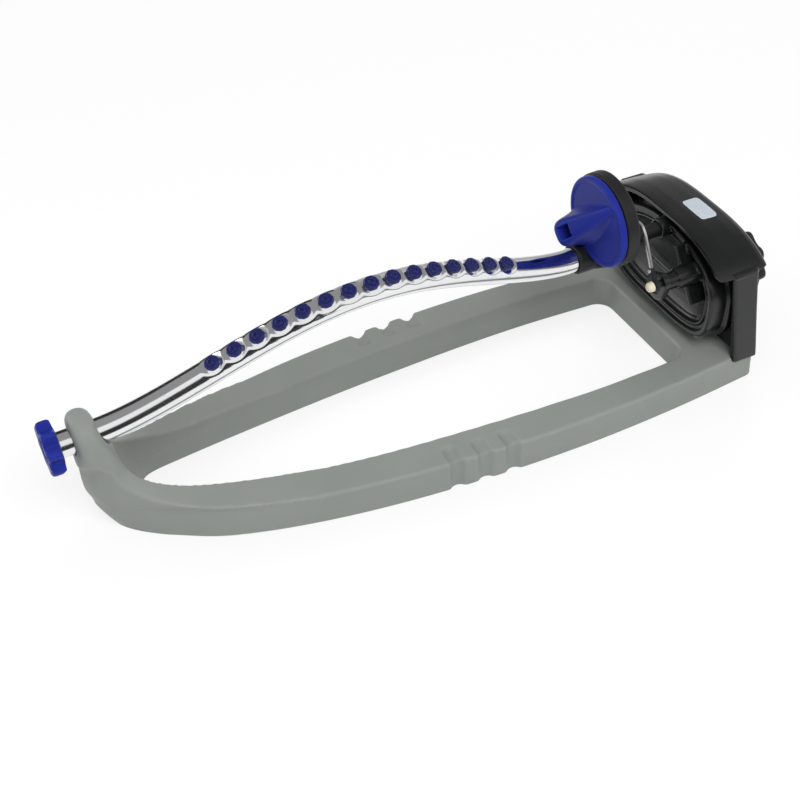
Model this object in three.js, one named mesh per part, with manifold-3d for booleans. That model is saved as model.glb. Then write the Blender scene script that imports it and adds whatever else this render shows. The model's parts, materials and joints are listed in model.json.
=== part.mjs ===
// Arched-tube oscillating lawn sprinkler, built as separate pieces.
// Millimetres, +Z up. The tube runs along X: its end cap is at -X, the hose nut at +X.
// The shape is worked out with x = 0 at the front of the base, then the whole model
// is moved so that x = 0 is the middle of its length.
import * as THREE from 'three';
import { mergeVertices } from 'three/addons/utils/BufferGeometryUtils.js';
import Module from 'manifold-3d';

const wasm = await Module();
wasm.setup();

// ---- driving dimensions ----
const middleX = 202.15;         // half-way between the end cap and the hose nut
const gap = 0.3;                // room between neighbouring pieces

const baseRear = 390;           // x of the rear wall of the base
const railHeight = 18.3;
const baseWall = 2.8;
const crossbarFront = 349;      // x of the crossbar's front wall

const pivotFront = new THREE.Vector3(4, 0, 61.5);   // tube axis in the front post
const axisTilt = THREE.MathUtils.degToRad(3.18);    // the axis climbs towards the motor
const restRoll = THREE.MathUtils.degToRad(22);      // the tube leans to -Y at rest

const tubeRadius = 7.2;
const tubeBore = 6;
const archHeight = 47;
const archStart = 5;
const archPeak = 148;
const archEnd = 284;
const tubeStart = -18.5;
const tubeEnd = 290.6;
const bushRadius = 9.6;

const nozzleCount = 15;
const nozzleFirst = 70.5;
const nozzleLast = 236.7;

const dialRadius = 26.4;
const dialOffset = 33.6;          // dial centre above the tube axis
const dialFace = 294.5;
const drumFront = 298;
const drumBack = 305.6;
const cupFloor = drumFront + 4;
const hubRadius = 9.3;
const socketFront = 284.6;
const socketFloor = 292;
const neckRadius = 4.4;
const neckEnd = 362;

const crankCentre = new THREE.Vector2(-29.9, -14);  // from the tube axis, in (y, up)
const crankRadius = 8.8;
const crankAngle = THREE.MathUtils.degToRad(99.5) + 1.5 * restRoll;
const linkLength = 36.9;
const linkAngle = THREE.MathUtils.degToRad(-148.3) + 0.075 * restRoll;
const leverPin = new THREE.Vector2(0.3, 13.65);     // from the tube axis, in the unrolled drum
const linkFront = 319.5;
const linkThickness = 2.6;
const crankFront = 324.7;
const crankThickness = 4;

const motorFront = 355;
const motorSplit = 373;
const motorBack = 392;
const motorTop = 85;
const motorWaist = 52;          // height where the motor is widest
const motorBottom = 22.5;
const motorHalfWidth = 51;

const canopyFront = 353.5;
const canopyBack = 388.4;
const canopyTop = 91.6;
const canopySill = 77;
const canopyHalfWidth = 57.6;
const legFront = 371.2;         // the hood's legs, at their feet
const legBack = 387.8;
const legInside = 56.4;
const legFoot = 15.6;

const inletZ = 36;
const nutStart = 403.5;
const nutEnd = 424;

const colours = {
  base: 0x8b908a,
  aluminium: 0xc9cacc,
  blue: 0x2a2d8c,
  black: 0x1b1c1f,
  darkRubber: 0x101112,
  steel: 0xb4b6b8,
  cream: 0xd8cfb4,
  ivory: 0xd9d6c8,
};

const finishes = {
  base: new THREE.MeshStandardMaterial({ color: colours.base, roughness: 0.55 }),
  aluminium: new THREE.MeshStandardMaterial({ color: colours.aluminium, roughness: 0.16, metalness: 1 }),
  blue: new THREE.MeshStandardMaterial({ color: colours.blue, roughness: 0.35 }),
  black: new THREE.MeshStandardMaterial({ color: colours.black, roughness: 0.35 }),
  rubber: new THREE.MeshStandardMaterial({ color: colours.darkRubber, roughness: 0.8 }),
  steel: new THREE.MeshStandardMaterial({ color: colours.steel, roughness: 0.3, metalness: 1 }),
  cream: new THREE.MeshStandardMaterial({ color: colours.cream, roughness: 0.45 }),
  ivory: new THREE.MeshStandardMaterial({ color: colours.ivory, roughness: 0.5 }),
};

// ---- closed bodies, joins and cuts ----

function signedVolume(geometry) {
  const position = geometry.attributes.position;
  const index = geometry.index.array;
  const a = new THREE.Vector3();
  const b = new THREE.Vector3();
  const c = new THREE.Vector3();
  let total = 0;
  for (let i = 0; i < index.length; i += 3) {
    a.fromBufferAttribute(position, index[i]);
    b.fromBufferAttribute(position, index[i + 1]);
    c.fromBufferAttribute(position, index[i + 2]);
    total += a.dot(b.cross(c)) / 6;
  }
  return total;
}

// Shared corners are merged, empty triangles dropped, and the faces turned outwards.
function weld(geometry) {
  const bare = new THREE.BufferGeometry();
  bare.setAttribute('position', geometry.attributes.position.clone());
  if (geometry.index) bare.setIndex(geometry.index.clone());
  const merged = mergeVertices(bare, 1e-4);
  const corners = merged.index.array;
  const kept = [];
  for (let i = 0; i < corners.length; i += 3) {
    const [a, b, c] = [corners[i], corners[i + 1], corners[i + 2]];
    if (a !== b && b !== c && c !== a) kept.push(a, b, c);
  }
  merged.setIndex(kept);
  if (signedVolume(merged) < 0) {
    for (let i = 0; i < kept.length; i += 3) {
      [kept[i + 1], kept[i + 2]] = [kept[i + 2], kept[i + 1]];
    }
    merged.setIndex(kept);
  }
  return merged;
}

function solid(geometry) {
  if (!(geometry instanceof THREE.BufferGeometry)) return geometry;
  const closed = weld(geometry);
  return new wasm.Manifold(new wasm.Mesh({
    numProp: 3,
    vertProperties: new Float32Array(closed.attributes.position.array),
    triVerts: new Uint32Array(closed.index.array),
  }));
}

function join(first, ...others) {
  return others.reduce((whole, other) => whole.add(solid(other)), solid(first));
}

function cut(first, ...others) {
  return others.reduce((whole, other) => whole.subtract(solid(other)), solid(first));
}

function surfaceOf(shape) {
  if (shape instanceof THREE.BufferGeometry) {
    const closed = weld(shape);
    closed.computeVertexNormals();
    return closed;
  }
  const mesh = shape.getMesh();
  const geometry = new THREE.BufferGeometry();
  geometry.setAttribute('position', new THREE.BufferAttribute(Float32Array.from(mesh.vertProperties), 3));
  geometry.setIndex(Array.from(mesh.triVerts));
  geometry.computeVertexNormals();
  return geometry;
}

function piece(name, shape, finish, parent) {
  const mesh = new THREE.Mesh(surfaceOf(shape), finishes[finish]);
  mesh.name = name;
  parent.add(mesh);
  return mesh;
}

// ---- basic forms ----

// A closed stack of outlines with equal point counts. Each layer is { points, at },
// and place(point, at) gives the corner in space.
function stack(layers, place) {
  const count = layers[0].points.length;
  const corners = [];
  const index = [];
  for (const layer of layers) {
    for (const point of layer.points) corners.push(...place(point, layer.at).toArray());
  }
  for (let k = 0; k + 1 < layers.length; k += 1) {
    for (let i = 0; i < count; i += 1) {
      const j = (i + 1) % count;
      const [a, b, c, d] = [k * count + i, k * count + j, (k + 1) * count + j, (k + 1) * count + i];
      index.push(a, b, c, a, c, d);
    }
  }
  const lids = [[0, true], [layers.length - 1, false]];
  for (const [k, reversed] of lids) {
    for (const [a, b, c] of THREE.ShapeUtils.triangulateShape(layers[k].points, [])) {
      const start = k * count;
      index.push(start + a, start + (reversed ? c : b), start + (reversed ? b : c));
    }
  }
  const geometry = new THREE.BufferGeometry();
  geometry.setAttribute('position', new THREE.Float32BufferAttribute(corners, 3));
  geometry.setIndex(index);
  return geometry;
}

const upright = (point, z) => new THREE.Vector3(point.x, point.y, z);
const alongX = (point, x) => new THREE.Vector3(x, point.x, point.y);

// Moves every corner of a closed outline inwards by a distance. Points run anticlockwise.
function inset(points, distance) {
  const count = points.length;
  return points.map((point, i) => {
    const before = points[(i + count - 1) % count];
    const after = points[(i + 1) % count];
    const along = after.clone().sub(before).normalize();
    return new THREE.Vector2(point.x - along.y * distance, point.y + along.x * distance);
  });
}

function superellipse(halfWidth, halfHeight, power, count, centreX = 0, centreY = 0) {
  const points = [];
  for (let i = 0; i < count; i += 1) {
    const turn = (2 * Math.PI * i) / count;
    const [c, s] = [Math.cos(turn), Math.sin(turn)];
    points.push(new THREE.Vector2(
      centreX + halfWidth * Math.sign(c) * Math.abs(c) ** (2 / power),
      centreY + halfHeight * Math.sign(s) * Math.abs(s) ** (2 / power),
    ));
  }
  return points;
}

// A turned piece about the X axis. The profile is a list of [radius, x].
function turned(profile, segments = 24) {
  const points = profile.map(([radius, x]) => new THREE.Vector2(radius, x));
  return new THREE.LatheGeometry(points, segments).rotateZ(-Math.PI / 2);
}

function ring(inner, outer, from, to, segments = 24) {
  return turned([[inner, from], [outer, from], [outer, to], [inner, to], [inner, from]], segments);
}

function rod(radius, from, to, segments = 24) {
  return turned([[0, from], [radius, from], [radius, to], [0, to]], segments);
}

// Turns an extrusion so that its outline lies in (y, z) and its depth runs along X.
const xFromDepth = new THREE.Matrix4().makeBasis(
  new THREE.Vector3(0, 1, 0), new THREE.Vector3(0, 0, 1), new THREE.Vector3(1, 0, 0),
);

function plate(shape, from, to, curveSegments = 12) {
  return new THREE.ExtrudeGeometry(shape, { depth: to - from, bevelEnabled: false, curveSegments })
    .applyMatrix4(xFromDepth).translate(from, 0, 0);
}

function disc(radius, y = 0, z = 0) {
  return new THREE.Shape().absarc(y, z, radius, 0, 2 * Math.PI, false);
}

// Two round ends of different size joined by their outer tangents.
function tearDrop(centreA, radiusA, centreB, radiusB) {
  const axis = centreB.clone().sub(centreA);
  const heading = Math.atan2(axis.y, axis.x);
  const spread = Math.acos((radiusA - radiusB) / axis.length());
  const shape = new THREE.Shape();
  shape.absarc(centreA.x, centreA.y, radiusA, heading + spread, heading - spread + 2 * Math.PI, false);
  shape.absarc(centreB.x, centreB.y, radiusB, heading - spread, heading + spread, false);
  return shape;
}

// ---- frames ----

const sprinkler = new THREE.Group();
const level = new THREE.Group();       // stands square to the ground
level.position.x = -middleX;
sprinkler.add(level);

const drive = new THREE.Group();       // x runs along the tube axis
drive.position.copy(pivotFront);
drive.rotation.y = -axisTilt;
level.add(drive);

const rolled = new THREE.Group();      // turns with the tube
rolled.rotation.x = restRoll;
drive.add(rolled);

drive.updateMatrix();
const driveToLevel = drive.matrix.clone();

// ---- base ----

// Half the base's width along its length: a round nose, bowed sides, and a slightly narrower rear.
const outerSide = [
  [8.5, 0], [11, -7.5], [17, -14.8], [25, -21.4], [35, -28], [60, -41.2], [100, -52.5], [150, -60.8],
  [210, -65.8], [270, -67], [330, -64.3], [384, -59.2],
];
const innerSide = [
  [28, 0], [31, -4], [40, -8], [60, -15], [80, -22], [101, -27.4], [146, -33.8], [192, -38.6],
  [243, -41.6], [290, -42.2], [339, -40.5],
];

function mirroredLoop(side, steps, cornerX, cornerRadius) {
  const curve = new THREE.SplineCurve(side.map(([x, y]) => new THREE.Vector2(x, y)));
  const near = curve.getPoints(steps);
  const last = near[near.length - 1];
  const cornerSteps = 4;
  for (let i = 1; i <= cornerSteps; i += 1) {
    const turn = (Math.PI / 2) * (i / cornerSteps);
    near.push(new THREE.Vector2(
      cornerX - cornerRadius + cornerRadius * Math.sin(turn),
      last.y + cornerRadius * (1 - Math.cos(turn)),
    ));
  }
  const far = near.slice(1).reverse().map((point) => new THREE.Vector2(point.x, -point.y));
  return [...near, ...far];
}

const outerLoop = mirroredLoop(outerSide, 20, baseRear, 6);
const innerLoop = mirroredLoop(innerSide, 18, crossbarFront, 10);

// The nose leans forward with height, and the lean dies out along the rails.
function leaned(points, amount) {
  return points.map((point) => {
    const share = Math.max(0, 1 - point.x / 60);
    return new THREE.Vector2(point.x - amount * share * share, point.y);
  });
}

function baseShell() {
  const outside = stack([
    { points: outerLoop, at: 0 },
    { points: leaned(inset(outerLoop, 0.4), 7), at: 6 },
    { points: leaned(inset(outerLoop, 1.2), 12.3), at: 13.6 },
    { points: leaned(inset(outerLoop, 1.9), 13.4), at: 16.4 },
    { points: leaned(inset(outerLoop, 3), 14), at: 17.8 },
    { points: leaned(inset(outerLoop, 4.6), 14.2), at: railHeight },
  ], upright);
  const pocketTop = railHeight - baseWall;
  const hollow = cut(
    stack([
      { points: inset(outerLoop, baseWall), at: -1 },
      { points: inset(outerLoop, baseWall + 1.4), at: pocketTop },
    ], upright),
    stack([
      { points: inset(innerLoop, -baseWall), at: -2 },
      { points: inset(innerLoop, -baseWall - 1.4), at: pocketTop + 1 },
    ], upright),
  );
  const ribs = [70, 120, 170, 220, 270, 320].map((x) => (
    new THREE.BoxGeometry(2, 200, railHeight).translate(x, 0, railHeight / 2)
  ));
  for (const y of [-30, 30]) {
    ribs.push(new THREE.BoxGeometry(baseRear - crossbarFront, 2, railHeight)
      .translate((baseRear + crossbarFront) / 2, y, railHeight / 2));
  }
  return cut(outside, cut(hollow, ...ribs));
}

// The gooseneck: the rails' outer walls sweep up into one thin post that leans forward a little.
// Each row is height, front x, rear x, half width and squareness of the section.
function post() {
  const rows = [
    [15.7, -12, 78, 66, 2.6], [18.3, -12, 62, 50, 2.5], [19.6, -10, 52, 37, 2.5], [22, -8, 43.5, 29.5, 2.5],
    [26, -6, 34.5, 23.4, 2.6], [31, -1.4, 27, 19.2, 2.7], [38, -2.2, 20.5, 16.3, 2.8],
    [47, -3.2, 15.2, 14.2, 2.8], [57, -3.6, 11, 13.4, 2.8], [64.5, -3.6, 9, 13, 2.7],
    [69, -3.4, 8.2, 11.6, 2.5], [72.6, -2.8, 7.2, 9, 2.3], [74.8, -1.9, 5.9, 6, 2.2], [75.7, -0.4, 4, 3, 2],
  ];
  const body = stack(rows.map(([z, front, rear, half, power]) => ({
    points: superellipse((rear - front) / 2, half, power, 24, (rear + front) / 2, 0),
    at: z,
  })), upright);
  const walls = [[6, 0.4, 7], [14, 1.3, 12.4], [22, 2.2, 15.4], [30, 2.6, 17.5], [40, 1.8, 19], [52, -2, 21], [80, -8, 24]];
  const sides = stack(walls.map(([z, drawnIn, lean]) => (
    { points: leaned(inset(outerLoop, drawnIn), lean), at: z }
  )), upright);
  return solid(body).intersect(solid(sides));
}

// Three scalloped finger grooves down the outer wall of each rail and over its edge.
function gripGrooves() {
  const radius = 6.4;
  const depth = 1.9;
  const cutters = [];
  for (const side of [-1, 1]) {
    for (const [x, edge] of [[184.5, 64.1], [201.5, 65.2], [218.5, 66]]) {
      const over = new THREE.CapsuleGeometry(radius, 30, 2, 12)
        .translate(x, side * (edge - 14 + radius + 15), railHeight + radius - depth);
      const down = new THREE.CylinderGeometry(radius, radius, 60, 12).rotateX(Math.PI / 2 + side * 0.085)
        .translate(x, side * (edge + radius - depth), 0);
      cutters.push(over, down);
    }
  }
  return cutters;
}

function baseFrame() {
  const opening = stack([
    { points: innerLoop, at: -1 },
    { points: inset(innerLoop, -1), at: 14 },
    { points: inset(innerLoop, -1.7), at: 16.8 },
    { points: inset(innerLoop, -3), at: 18.4 },
    { points: inset(innerLoop, -4.6), at: 24 },
    { points: inset(innerLoop, -6), at: 30 },
    { points: inset(innerLoop, -8), at: 40 },
  ], upright);
  const bushSeat = rod(bushRadius + gap, -14, 18).applyMatrix4(driveToLevel);
  const legSeats = [-1, 1].map((side) => (
    new THREE.BoxGeometry(legBack - legFront + 2 * gap, 10, 6)
      .translate((legFront + legBack) / 2, side * (legInside - gap + 5), legFoot - gap + 3)
  ));
  return cut(join(baseShell(), post()), opening, bushSeat, ...legSeats, ...gripGrooves());
}

piece('base_frame', baseFrame(), 'base', level);

// ---- front bearing and spray tube ----

piece('front_bearing_bush', ring(tubeRadius + gap, bushRadius, -6.4, 5.2, 24), 'black', drive);

// The arch is steeper towards the end cap and fuller towards the dial.
function archPoint(s) {
  const towardsDial = s > archPeak;
  const span = towardsDial ? archEnd - archPeak : archPeak - archStart;
  const t = Math.min(Math.abs(s - archPeak) / span, 1);
  return new THREE.Vector3(s, 0, archHeight * Math.cos((Math.PI / 2) * t) ** (towardsDial ? 1.5 : 1.7));
}

class ArchCurve extends THREE.Curve {
  constructor(from, to) {
    super();
    this.from = from;
    this.to = to;
  }

  getPoint(t, target = new THREE.Vector3()) {
    return target.copy(archPoint(this.from + (this.to - this.from) * t));
  }
}

function archTangent(s) {
  return archPoint(s + 0.5).sub(archPoint(s - 0.5)).normalize();
}

// Places a turned piece, made about X, so that its axis stands square on the tube at s.
function standOnTube(geometry, s) {
  const tangent = archTangent(s);
  const outward = new THREE.Vector3(-tangent.z, 0, tangent.x);
  const side = new THREE.Vector3(0, 1, 0);
  const placed = new THREE.Matrix4().makeBasis(outward, side, outward.clone().cross(side));
  placed.setPosition(archPoint(s));
  return geometry.applyMatrix4(placed);
}

const nozzlePlaces = Array.from({ length: nozzleCount }, (_, i) => (
  nozzleFirst + ((nozzleLast - nozzleFirst) * i) / (nozzleCount - 1)
));

function sprayTube() {
  const section = disc(tubeRadius);
  section.holes.push(new THREE.Path().absarc(0, 0, tubeBore, 0, 2 * Math.PI, true));
  const wall = new THREE.ExtrudeGeometry(section, {
    steps: 30,
    curveSegments: 6,
    extrudePath: new ArchCurve(tubeStart, tubeEnd),
  });
  const holes = nozzlePlaces.map((s) => standOnTube(rod(3, 3, 12, 6), s));
  return cut(wall, ...holes);
}

piece('spray_tube', sprayTube(), 'aluminium', rolled);

function nozzle() {
  const seat = tubeRadius + gap;
  return turned([
    [0.7, 5], [2.3, 5], [2.3, seat + 0.2], [4.3, seat + 0.2], [4.1, seat + 2], [2.8, seat + 2.7],
    [0.7, seat + 2.4], [0.7, 5],
  ], 8);
}

nozzlePlaces.forEach((s, i) => {
  piece(`nozzle_${String(i + 1).padStart(2, '0')}`, standOnTube(nozzle(), s), 'blue', rolled);
});

// ---- end cap ----

// A wheel outline with rounded lobes, in (y, z).
function lobedOutline(radius, swell, lobes, steps) {
  const outline = new THREE.Shape();
  for (let i = 0; i < steps; i += 1) {
    const turn = (2 * Math.PI * i) / steps;
    const reach = radius + swell * Math.cos(lobes * turn);
    if (i === 0) outline.moveTo(reach, 0);
    else outline.lineTo(reach * Math.cos(turn), reach * Math.sin(turn));
  }
  outline.closePath();
  return outline;
}

function endCap() {
  const grip = new THREE.ExtrudeGeometry(lobedOutline(13.4, 1.4, 8, 56), {
    depth: 6, bevelEnabled: true, bevelThickness: 1, bevelSize: 1, bevelOffset: -0.6, bevelSegments: 1,
  }).applyMatrix4(xFromDepth).translate(-22, 0, 0);
  const socket = rod(tubeRadius + gap, tubeStart - 1.1, -10, 20);
  const plug = rod(tubeBore - gap, tubeStart - 2, -9, 20);
  return join(cut(grip, socket), plug);
}

piece('end_cap', endCap(), 'blue', rolled);
piece('end_cap_seal', ring(tubeBore + 0.1, tubeRadius, tubeStart - 0.9, tubeStart - 0.3, 20), 'rubber', rolled);

// ---- tube end: collar, drum, dial ----

function swingDrum() {
  const dialRoom = (radius, from, to) => rod(radius, from, to, 36).translate(0, 0, dialOffset);
  const body = plate(
    tearDrop(new THREE.Vector2(0, dialOffset), dialRadius + 0.7, new THREE.Vector2(0, 0), hubRadius),
    drumFront, drumBack, 14,
  );
  const spindle = rod(4, drumFront + 0.8, drumFront + 4.3, 16).translate(0, 0, dialOffset);
  const shell = join(cut(body, dialRoom(dialRadius - 2.4, drumFront - 1, cupFloor)), spindle);
  // The hub is flattened where it passes under the rim of the dial.
  const hub = cut(
    rod(hubRadius, socketFront, drumBack, 24),
    dialRoom(dialRadius + 0.5, dialFace - gap, drumFront + 0.1),
    dialRoom(dialRadius - 2.4, drumFront - 1, cupFloor),
  );
  const neck = rod(neckRadius, drumBack - 1, neckEnd, 20);
  const tubeSocket = rod(tubeRadius + gap, socketFront - 1, socketFloor, 24);
  const underDial = rod(4.6, socketFloor - 1, cupFloor + 2, 16).translate(0, 0, -1.2);
  const waterway = join(underDial, rod(3, cupFloor, neckEnd + 2, 16));
  const pin = rod(1.7, drumBack - 1, linkFront + linkThickness + 1.2, 12).translate(0, leverPin.x, leverPin.y);
  const pinBoss = turned([[0, drumBack - 1], [5, drumBack - 1], [3.4, linkFront - 1.5], [0, linkFront - 1.5]], 16)
    .translate(0, leverPin.x, leverPin.y);
  return cut(join(shell, hub, neck, pinBoss, pin), tubeSocket, waterway);
}

piece('swing_drum', swingDrum(), 'black', rolled);
piece('tube_seal', ring(tubeBore + 0.1, tubeRadius - 0.1, tubeEnd + 0.1, socketFloor - 0.1, 24), 'rubber', rolled);

function rangeDial() {
  const rim = turned([
    [0, dialFace], [dialRadius - 1.4, dialFace], [dialRadius - 0.4, dialFace + 0.5], [dialRadius, dialFace + 1.5],
    [dialRadius, drumFront - gap], [dialRadius - 2.8, drumFront - gap], [dialRadius - 2.8, drumFront + 1.6],
    [0, drumFront + 1.6],
  ], 40);
  const side = new THREE.Shape();
  side.moveTo(26, 0);
  side.lineTo(25.6, 8);
  side.lineTo(23.4, 14);
  side.quadraticCurveTo(22, 16, 17.5, 15.2);
  side.lineTo(-20, 2.6);
  side.lineTo(-23, 0);
  side.lineTo(0, -1);
  side.closePath();
  const grip = new THREE.ExtrudeGeometry(side, {
    depth: 10.8, bevelEnabled: true, bevelThickness: 1.4, bevelSize: 1.2, bevelOffset: -1.2, bevelSegments: 2,
    curveSegments: 4,
  }).translate(0, 0, -5.4);
  // The grip's profile lies along the pointer direction and stands out towards -X.
  const pointer = THREE.MathUtils.degToRad(-62);
  const along = new THREE.Vector3(0, Math.cos(pointer), Math.sin(pointer));
  const out = new THREE.Vector3(-1, 0, 0);
  const placed = new THREE.Matrix4().makeBasis(along, out, along.clone().cross(out)).setPosition(dialFace + 0.4, 0, 0);
  grip.applyMatrix4(placed);
  const recess = new THREE.BoxGeometry(9, 9, 8).translate(24.5, 8, 0).applyMatrix4(placed);
  return cut(join(rim, cut(grip, recess)), rod(4.3, drumFront + 0.4, drumFront + 5, 16)).translate(0, 0, dialOffset);
}

piece('range_dial', rangeDial(), 'blue', rolled);

// ---- link and crank ----

const leverPinAtRest = leverPin.clone().rotateAround(new THREE.Vector2(), restRoll);
const crankPin = new THREE.Vector2(Math.cos(crankAngle), Math.sin(crankAngle))
  .multiplyScalar(crankRadius).add(crankCentre);
const linkTop = new THREE.Vector2(Math.cos(linkAngle), Math.sin(linkAngle))
  .multiplyScalar(-linkLength).add(crankPin);

// The link runs straight up from the crank pin, then turns in behind the drum to the lever pin,
// so that it passes beside the water neck. Its course is [distance towards the lever pin, to the side].
function driveLink() {
  const chord = linkTop.clone().sub(crankPin).normalize();
  const sideways = new THREE.Vector2(-chord.y, chord.x);
  const course = [[0, 0], [8, 4.4], [17, 10], [26, 15.2], [31.5, 16], [35.6, 11.6], [linkLength, 0]];
  const centreLine = new THREE.SplineCurve(course.map(([along, aside]) => (
    crankPin.clone().addScaledVector(chord, along).addScaledVector(sideways, aside)
  )));
  const halfWidth = 1.5;
  const steps = 18;
  const offset = (t, side) => {
    const tangent = centreLine.getTangent(t);
    return centreLine.getPoint(t).add(new THREE.Vector2(-tangent.y, tangent.x).multiplyScalar(side * halfWidth));
  };
  const fractions = Array.from({ length: steps + 1 }, (_, i) => i / steps);
  const strap = new THREE.Shape([
    ...fractions.map((t) => offset(t, -1)),
    ...fractions.reverse().map((t) => offset(t, 1)),
  ]);
  const [from, to] = [linkFront, linkFront + linkThickness];
  const eyes = join(
    plate(strap, from, to),
    plate(disc(4.9, linkTop.x, linkTop.y), from, to),
    plate(disc(4, crankPin.x, crankPin.y), from, to),
  );
  return cut(
    eyes,
    plate(disc(3.2, linkTop.x, linkTop.y), from - 1, to + 1),
    plate(disc(2.2 + gap, crankPin.x, crankPin.y), from - 1, to + 1),
  );
}

piece('drive_link', driveLink(), 'steel', drive);

function crankArm() {
  const back = crankFront + crankThickness;
  const web = plate(tearDrop(crankCentre, 8.4, crankPin, 4.8), crankFront, back, 14);
  const pin = rod(2.2, linkFront - 1.8, crankFront + 1, 16).translate(0, crankPin.x, crankPin.y);
  const shaft = rod(3, back - 1, 366.5, 16).translate(0, crankCentre.x, crankCentre.y);
  return join(web, pin, shaft);
}

piece('crank_arm', crankArm(), 'black', drive);

piece('crank_pin_cap', turned([
  [2.2 + gap, linkFront - 0.5], [2.2 + gap, linkFront - 2.2], [0, linkFront - 2.7], [0, linkFront - 4.4],
  [2.4, linkFront - 4.1], [3.6, linkFront - 3.2], [3.9, linkFront - 0.5], [2.2 + gap, linkFront - 0.5],
], 16).translate(0, crankPin.x, crankPin.y), 'cream', drive);

// ---- motor ----

// A rounded shield: narrower above its waist, boxier below it.
function motorOutline(shrink) {
  const count = 36;
  const halfWidth = motorHalfWidth - shrink;
  const points = [];
  for (let i = 0; i < count; i += 1) {
    const turn = (2 * Math.PI * i) / count;
    const [c, s] = [Math.cos(turn), Math.sin(turn)];
    const power = s > 0 ? 2.1 : 3.6;
    const reach = (s > 0 ? motorTop - motorWaist : motorWaist - motorBottom) - shrink;
    points.push(new THREE.Vector2(
      halfWidth * Math.sign(c) * Math.abs(c) ** (2 / power),
      motorWaist + reach * Math.sign(s) * Math.abs(s) ** (2 / power),
    ));
  }
  return points;
}

function motorFrontCase() {
  const body = stack([
    { points: motorOutline(1.4), at: motorFront },
    { points: motorOutline(0.2), at: motorFront + 1.2 },
    { points: motorOutline(0), at: motorFront + 2.4 },
    { points: motorOutline(0), at: motorSplit - 6 },
    { points: motorOutline(-1.6), at: motorSplit - 5.6 },
    { points: motorOutline(-1.6), at: motorSplit - gap },
  ], alongX);
  const rim = stack([
    { points: motorOutline(3.4), at: motorFront - 1 },
    { points: motorOutline(3.8), at: motorFront + 2.6 },
  ], alongX);
  const dish = stack([
    { points: motorOutline(6.6), at: motorFront + 1 },
    { points: motorOutline(7.4), at: motorFront + 4 },
    { points: motorOutline(20), at: motorFront + 11 },
  ], alongX);
  const onDrive = (shape, centre) => shape.translate(0, centre.x, centre.y).applyMatrix4(driveToLevel);
  const origin = new THREE.Vector2();
  const neckBoss = onDrive(rod(6.1, 346, 366, 20), origin);
  const crankBoss = onDrive(turned([
    [0, 330.4], [5, 330.4], [5, 338], [6.2, 339], [8.4, 366], [0, 366],
  ], 20), crankCentre);
  const neckBore = onDrive(rod(neckRadius + gap, 340, neckEnd + 0.6, 20), origin);
  const crankBore = onDrive(rod(3 + gap, 329, 367.2, 16), crankCentre);
  return cut(join(cut(body, rim, dish), neckBoss, crankBoss), neckBore, crankBore);
}

piece('motor_front_case', motorFrontCase(), 'black', level);

function motorRearCase() {
  const body = stack([
    { points: motorOutline(-1.6), at: motorSplit + gap },
    { points: motorOutline(-1.6), at: motorSplit + 3.6 },
    { points: motorOutline(1.4), at: motorSplit + 4.4 },
    { points: motorOutline(3), at: motorBack - 7 },
    { points: motorOutline(7), at: motorBack - 2 },
    { points: motorOutline(12), at: motorBack },
  ], alongX);
  const inlet = turned([
    [0, motorBack - 4], [14, motorBack - 4], [12.6, 399], [9.6, 399], [9.6, nutStart + 4.6], [12.4, nutStart + 5],
    [12.4, nutStart + 7.6], [11.8, nutStart + 8], [0, nutStart + 8],
  ], 24).translate(0, 0, inletZ);
  const waterway = rod(7, 382, nutStart + 12, 18).translate(0, 0, inletZ);
  return cut(join(body, inlet), waterway);
}

piece('motor_rear_case', motorRearCase(), 'black', level);

// ---- hose nut ----

function hoseNut() {
  return cut(
    plate(lobedOutline(18.6, 1.6, 8, 56), nutStart, nutEnd),
    rod(10, nutStart - 1, nutEnd, 24),
    rod(13.3, nutStart + 4.2, nutEnd + 1, 24),
  ).translate([0, 0, inletZ]);
}

piece('hose_nut', hoseNut(), 'black', level);
piece('inlet_washer', ring(7.2, 12.6, nutStart + 9.3, nutStart + 11.5, 24).translate(0, 0, inletZ), 'rubber', level);
piece('inlet_filter', turned([
  [0, nutStart - 3], [4.2, nutStart - 2], [6.5, nutStart + 1], [6.5, nutStart + 8.3], [9.4, nutStart + 8.3],
  [9.4, nutStart + 9], [5.9, nutStart + 9], [5.9, nutStart + 1.2], [3.8, nutStart - 1.4], [0, nutStart - 2.3],
], 18).translate(0, 0, inletZ), 'ivory', level);

// ---- hood ----

// One arched section of the canopy: nearly flat on top, falling ever faster to the sides.
function canopySection(top, halfWidth, sill) {
  const points = [];
  const steps = 24;
  for (let i = 0; i <= steps; i += 1) {
    const u = Math.cos((Math.PI * i) / steps);
    points.push(new THREE.Vector2(halfWidth * u, sill + (top - sill) * (1 - Math.abs(u) ** 3.2)));
  }
  return points;
}

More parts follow.
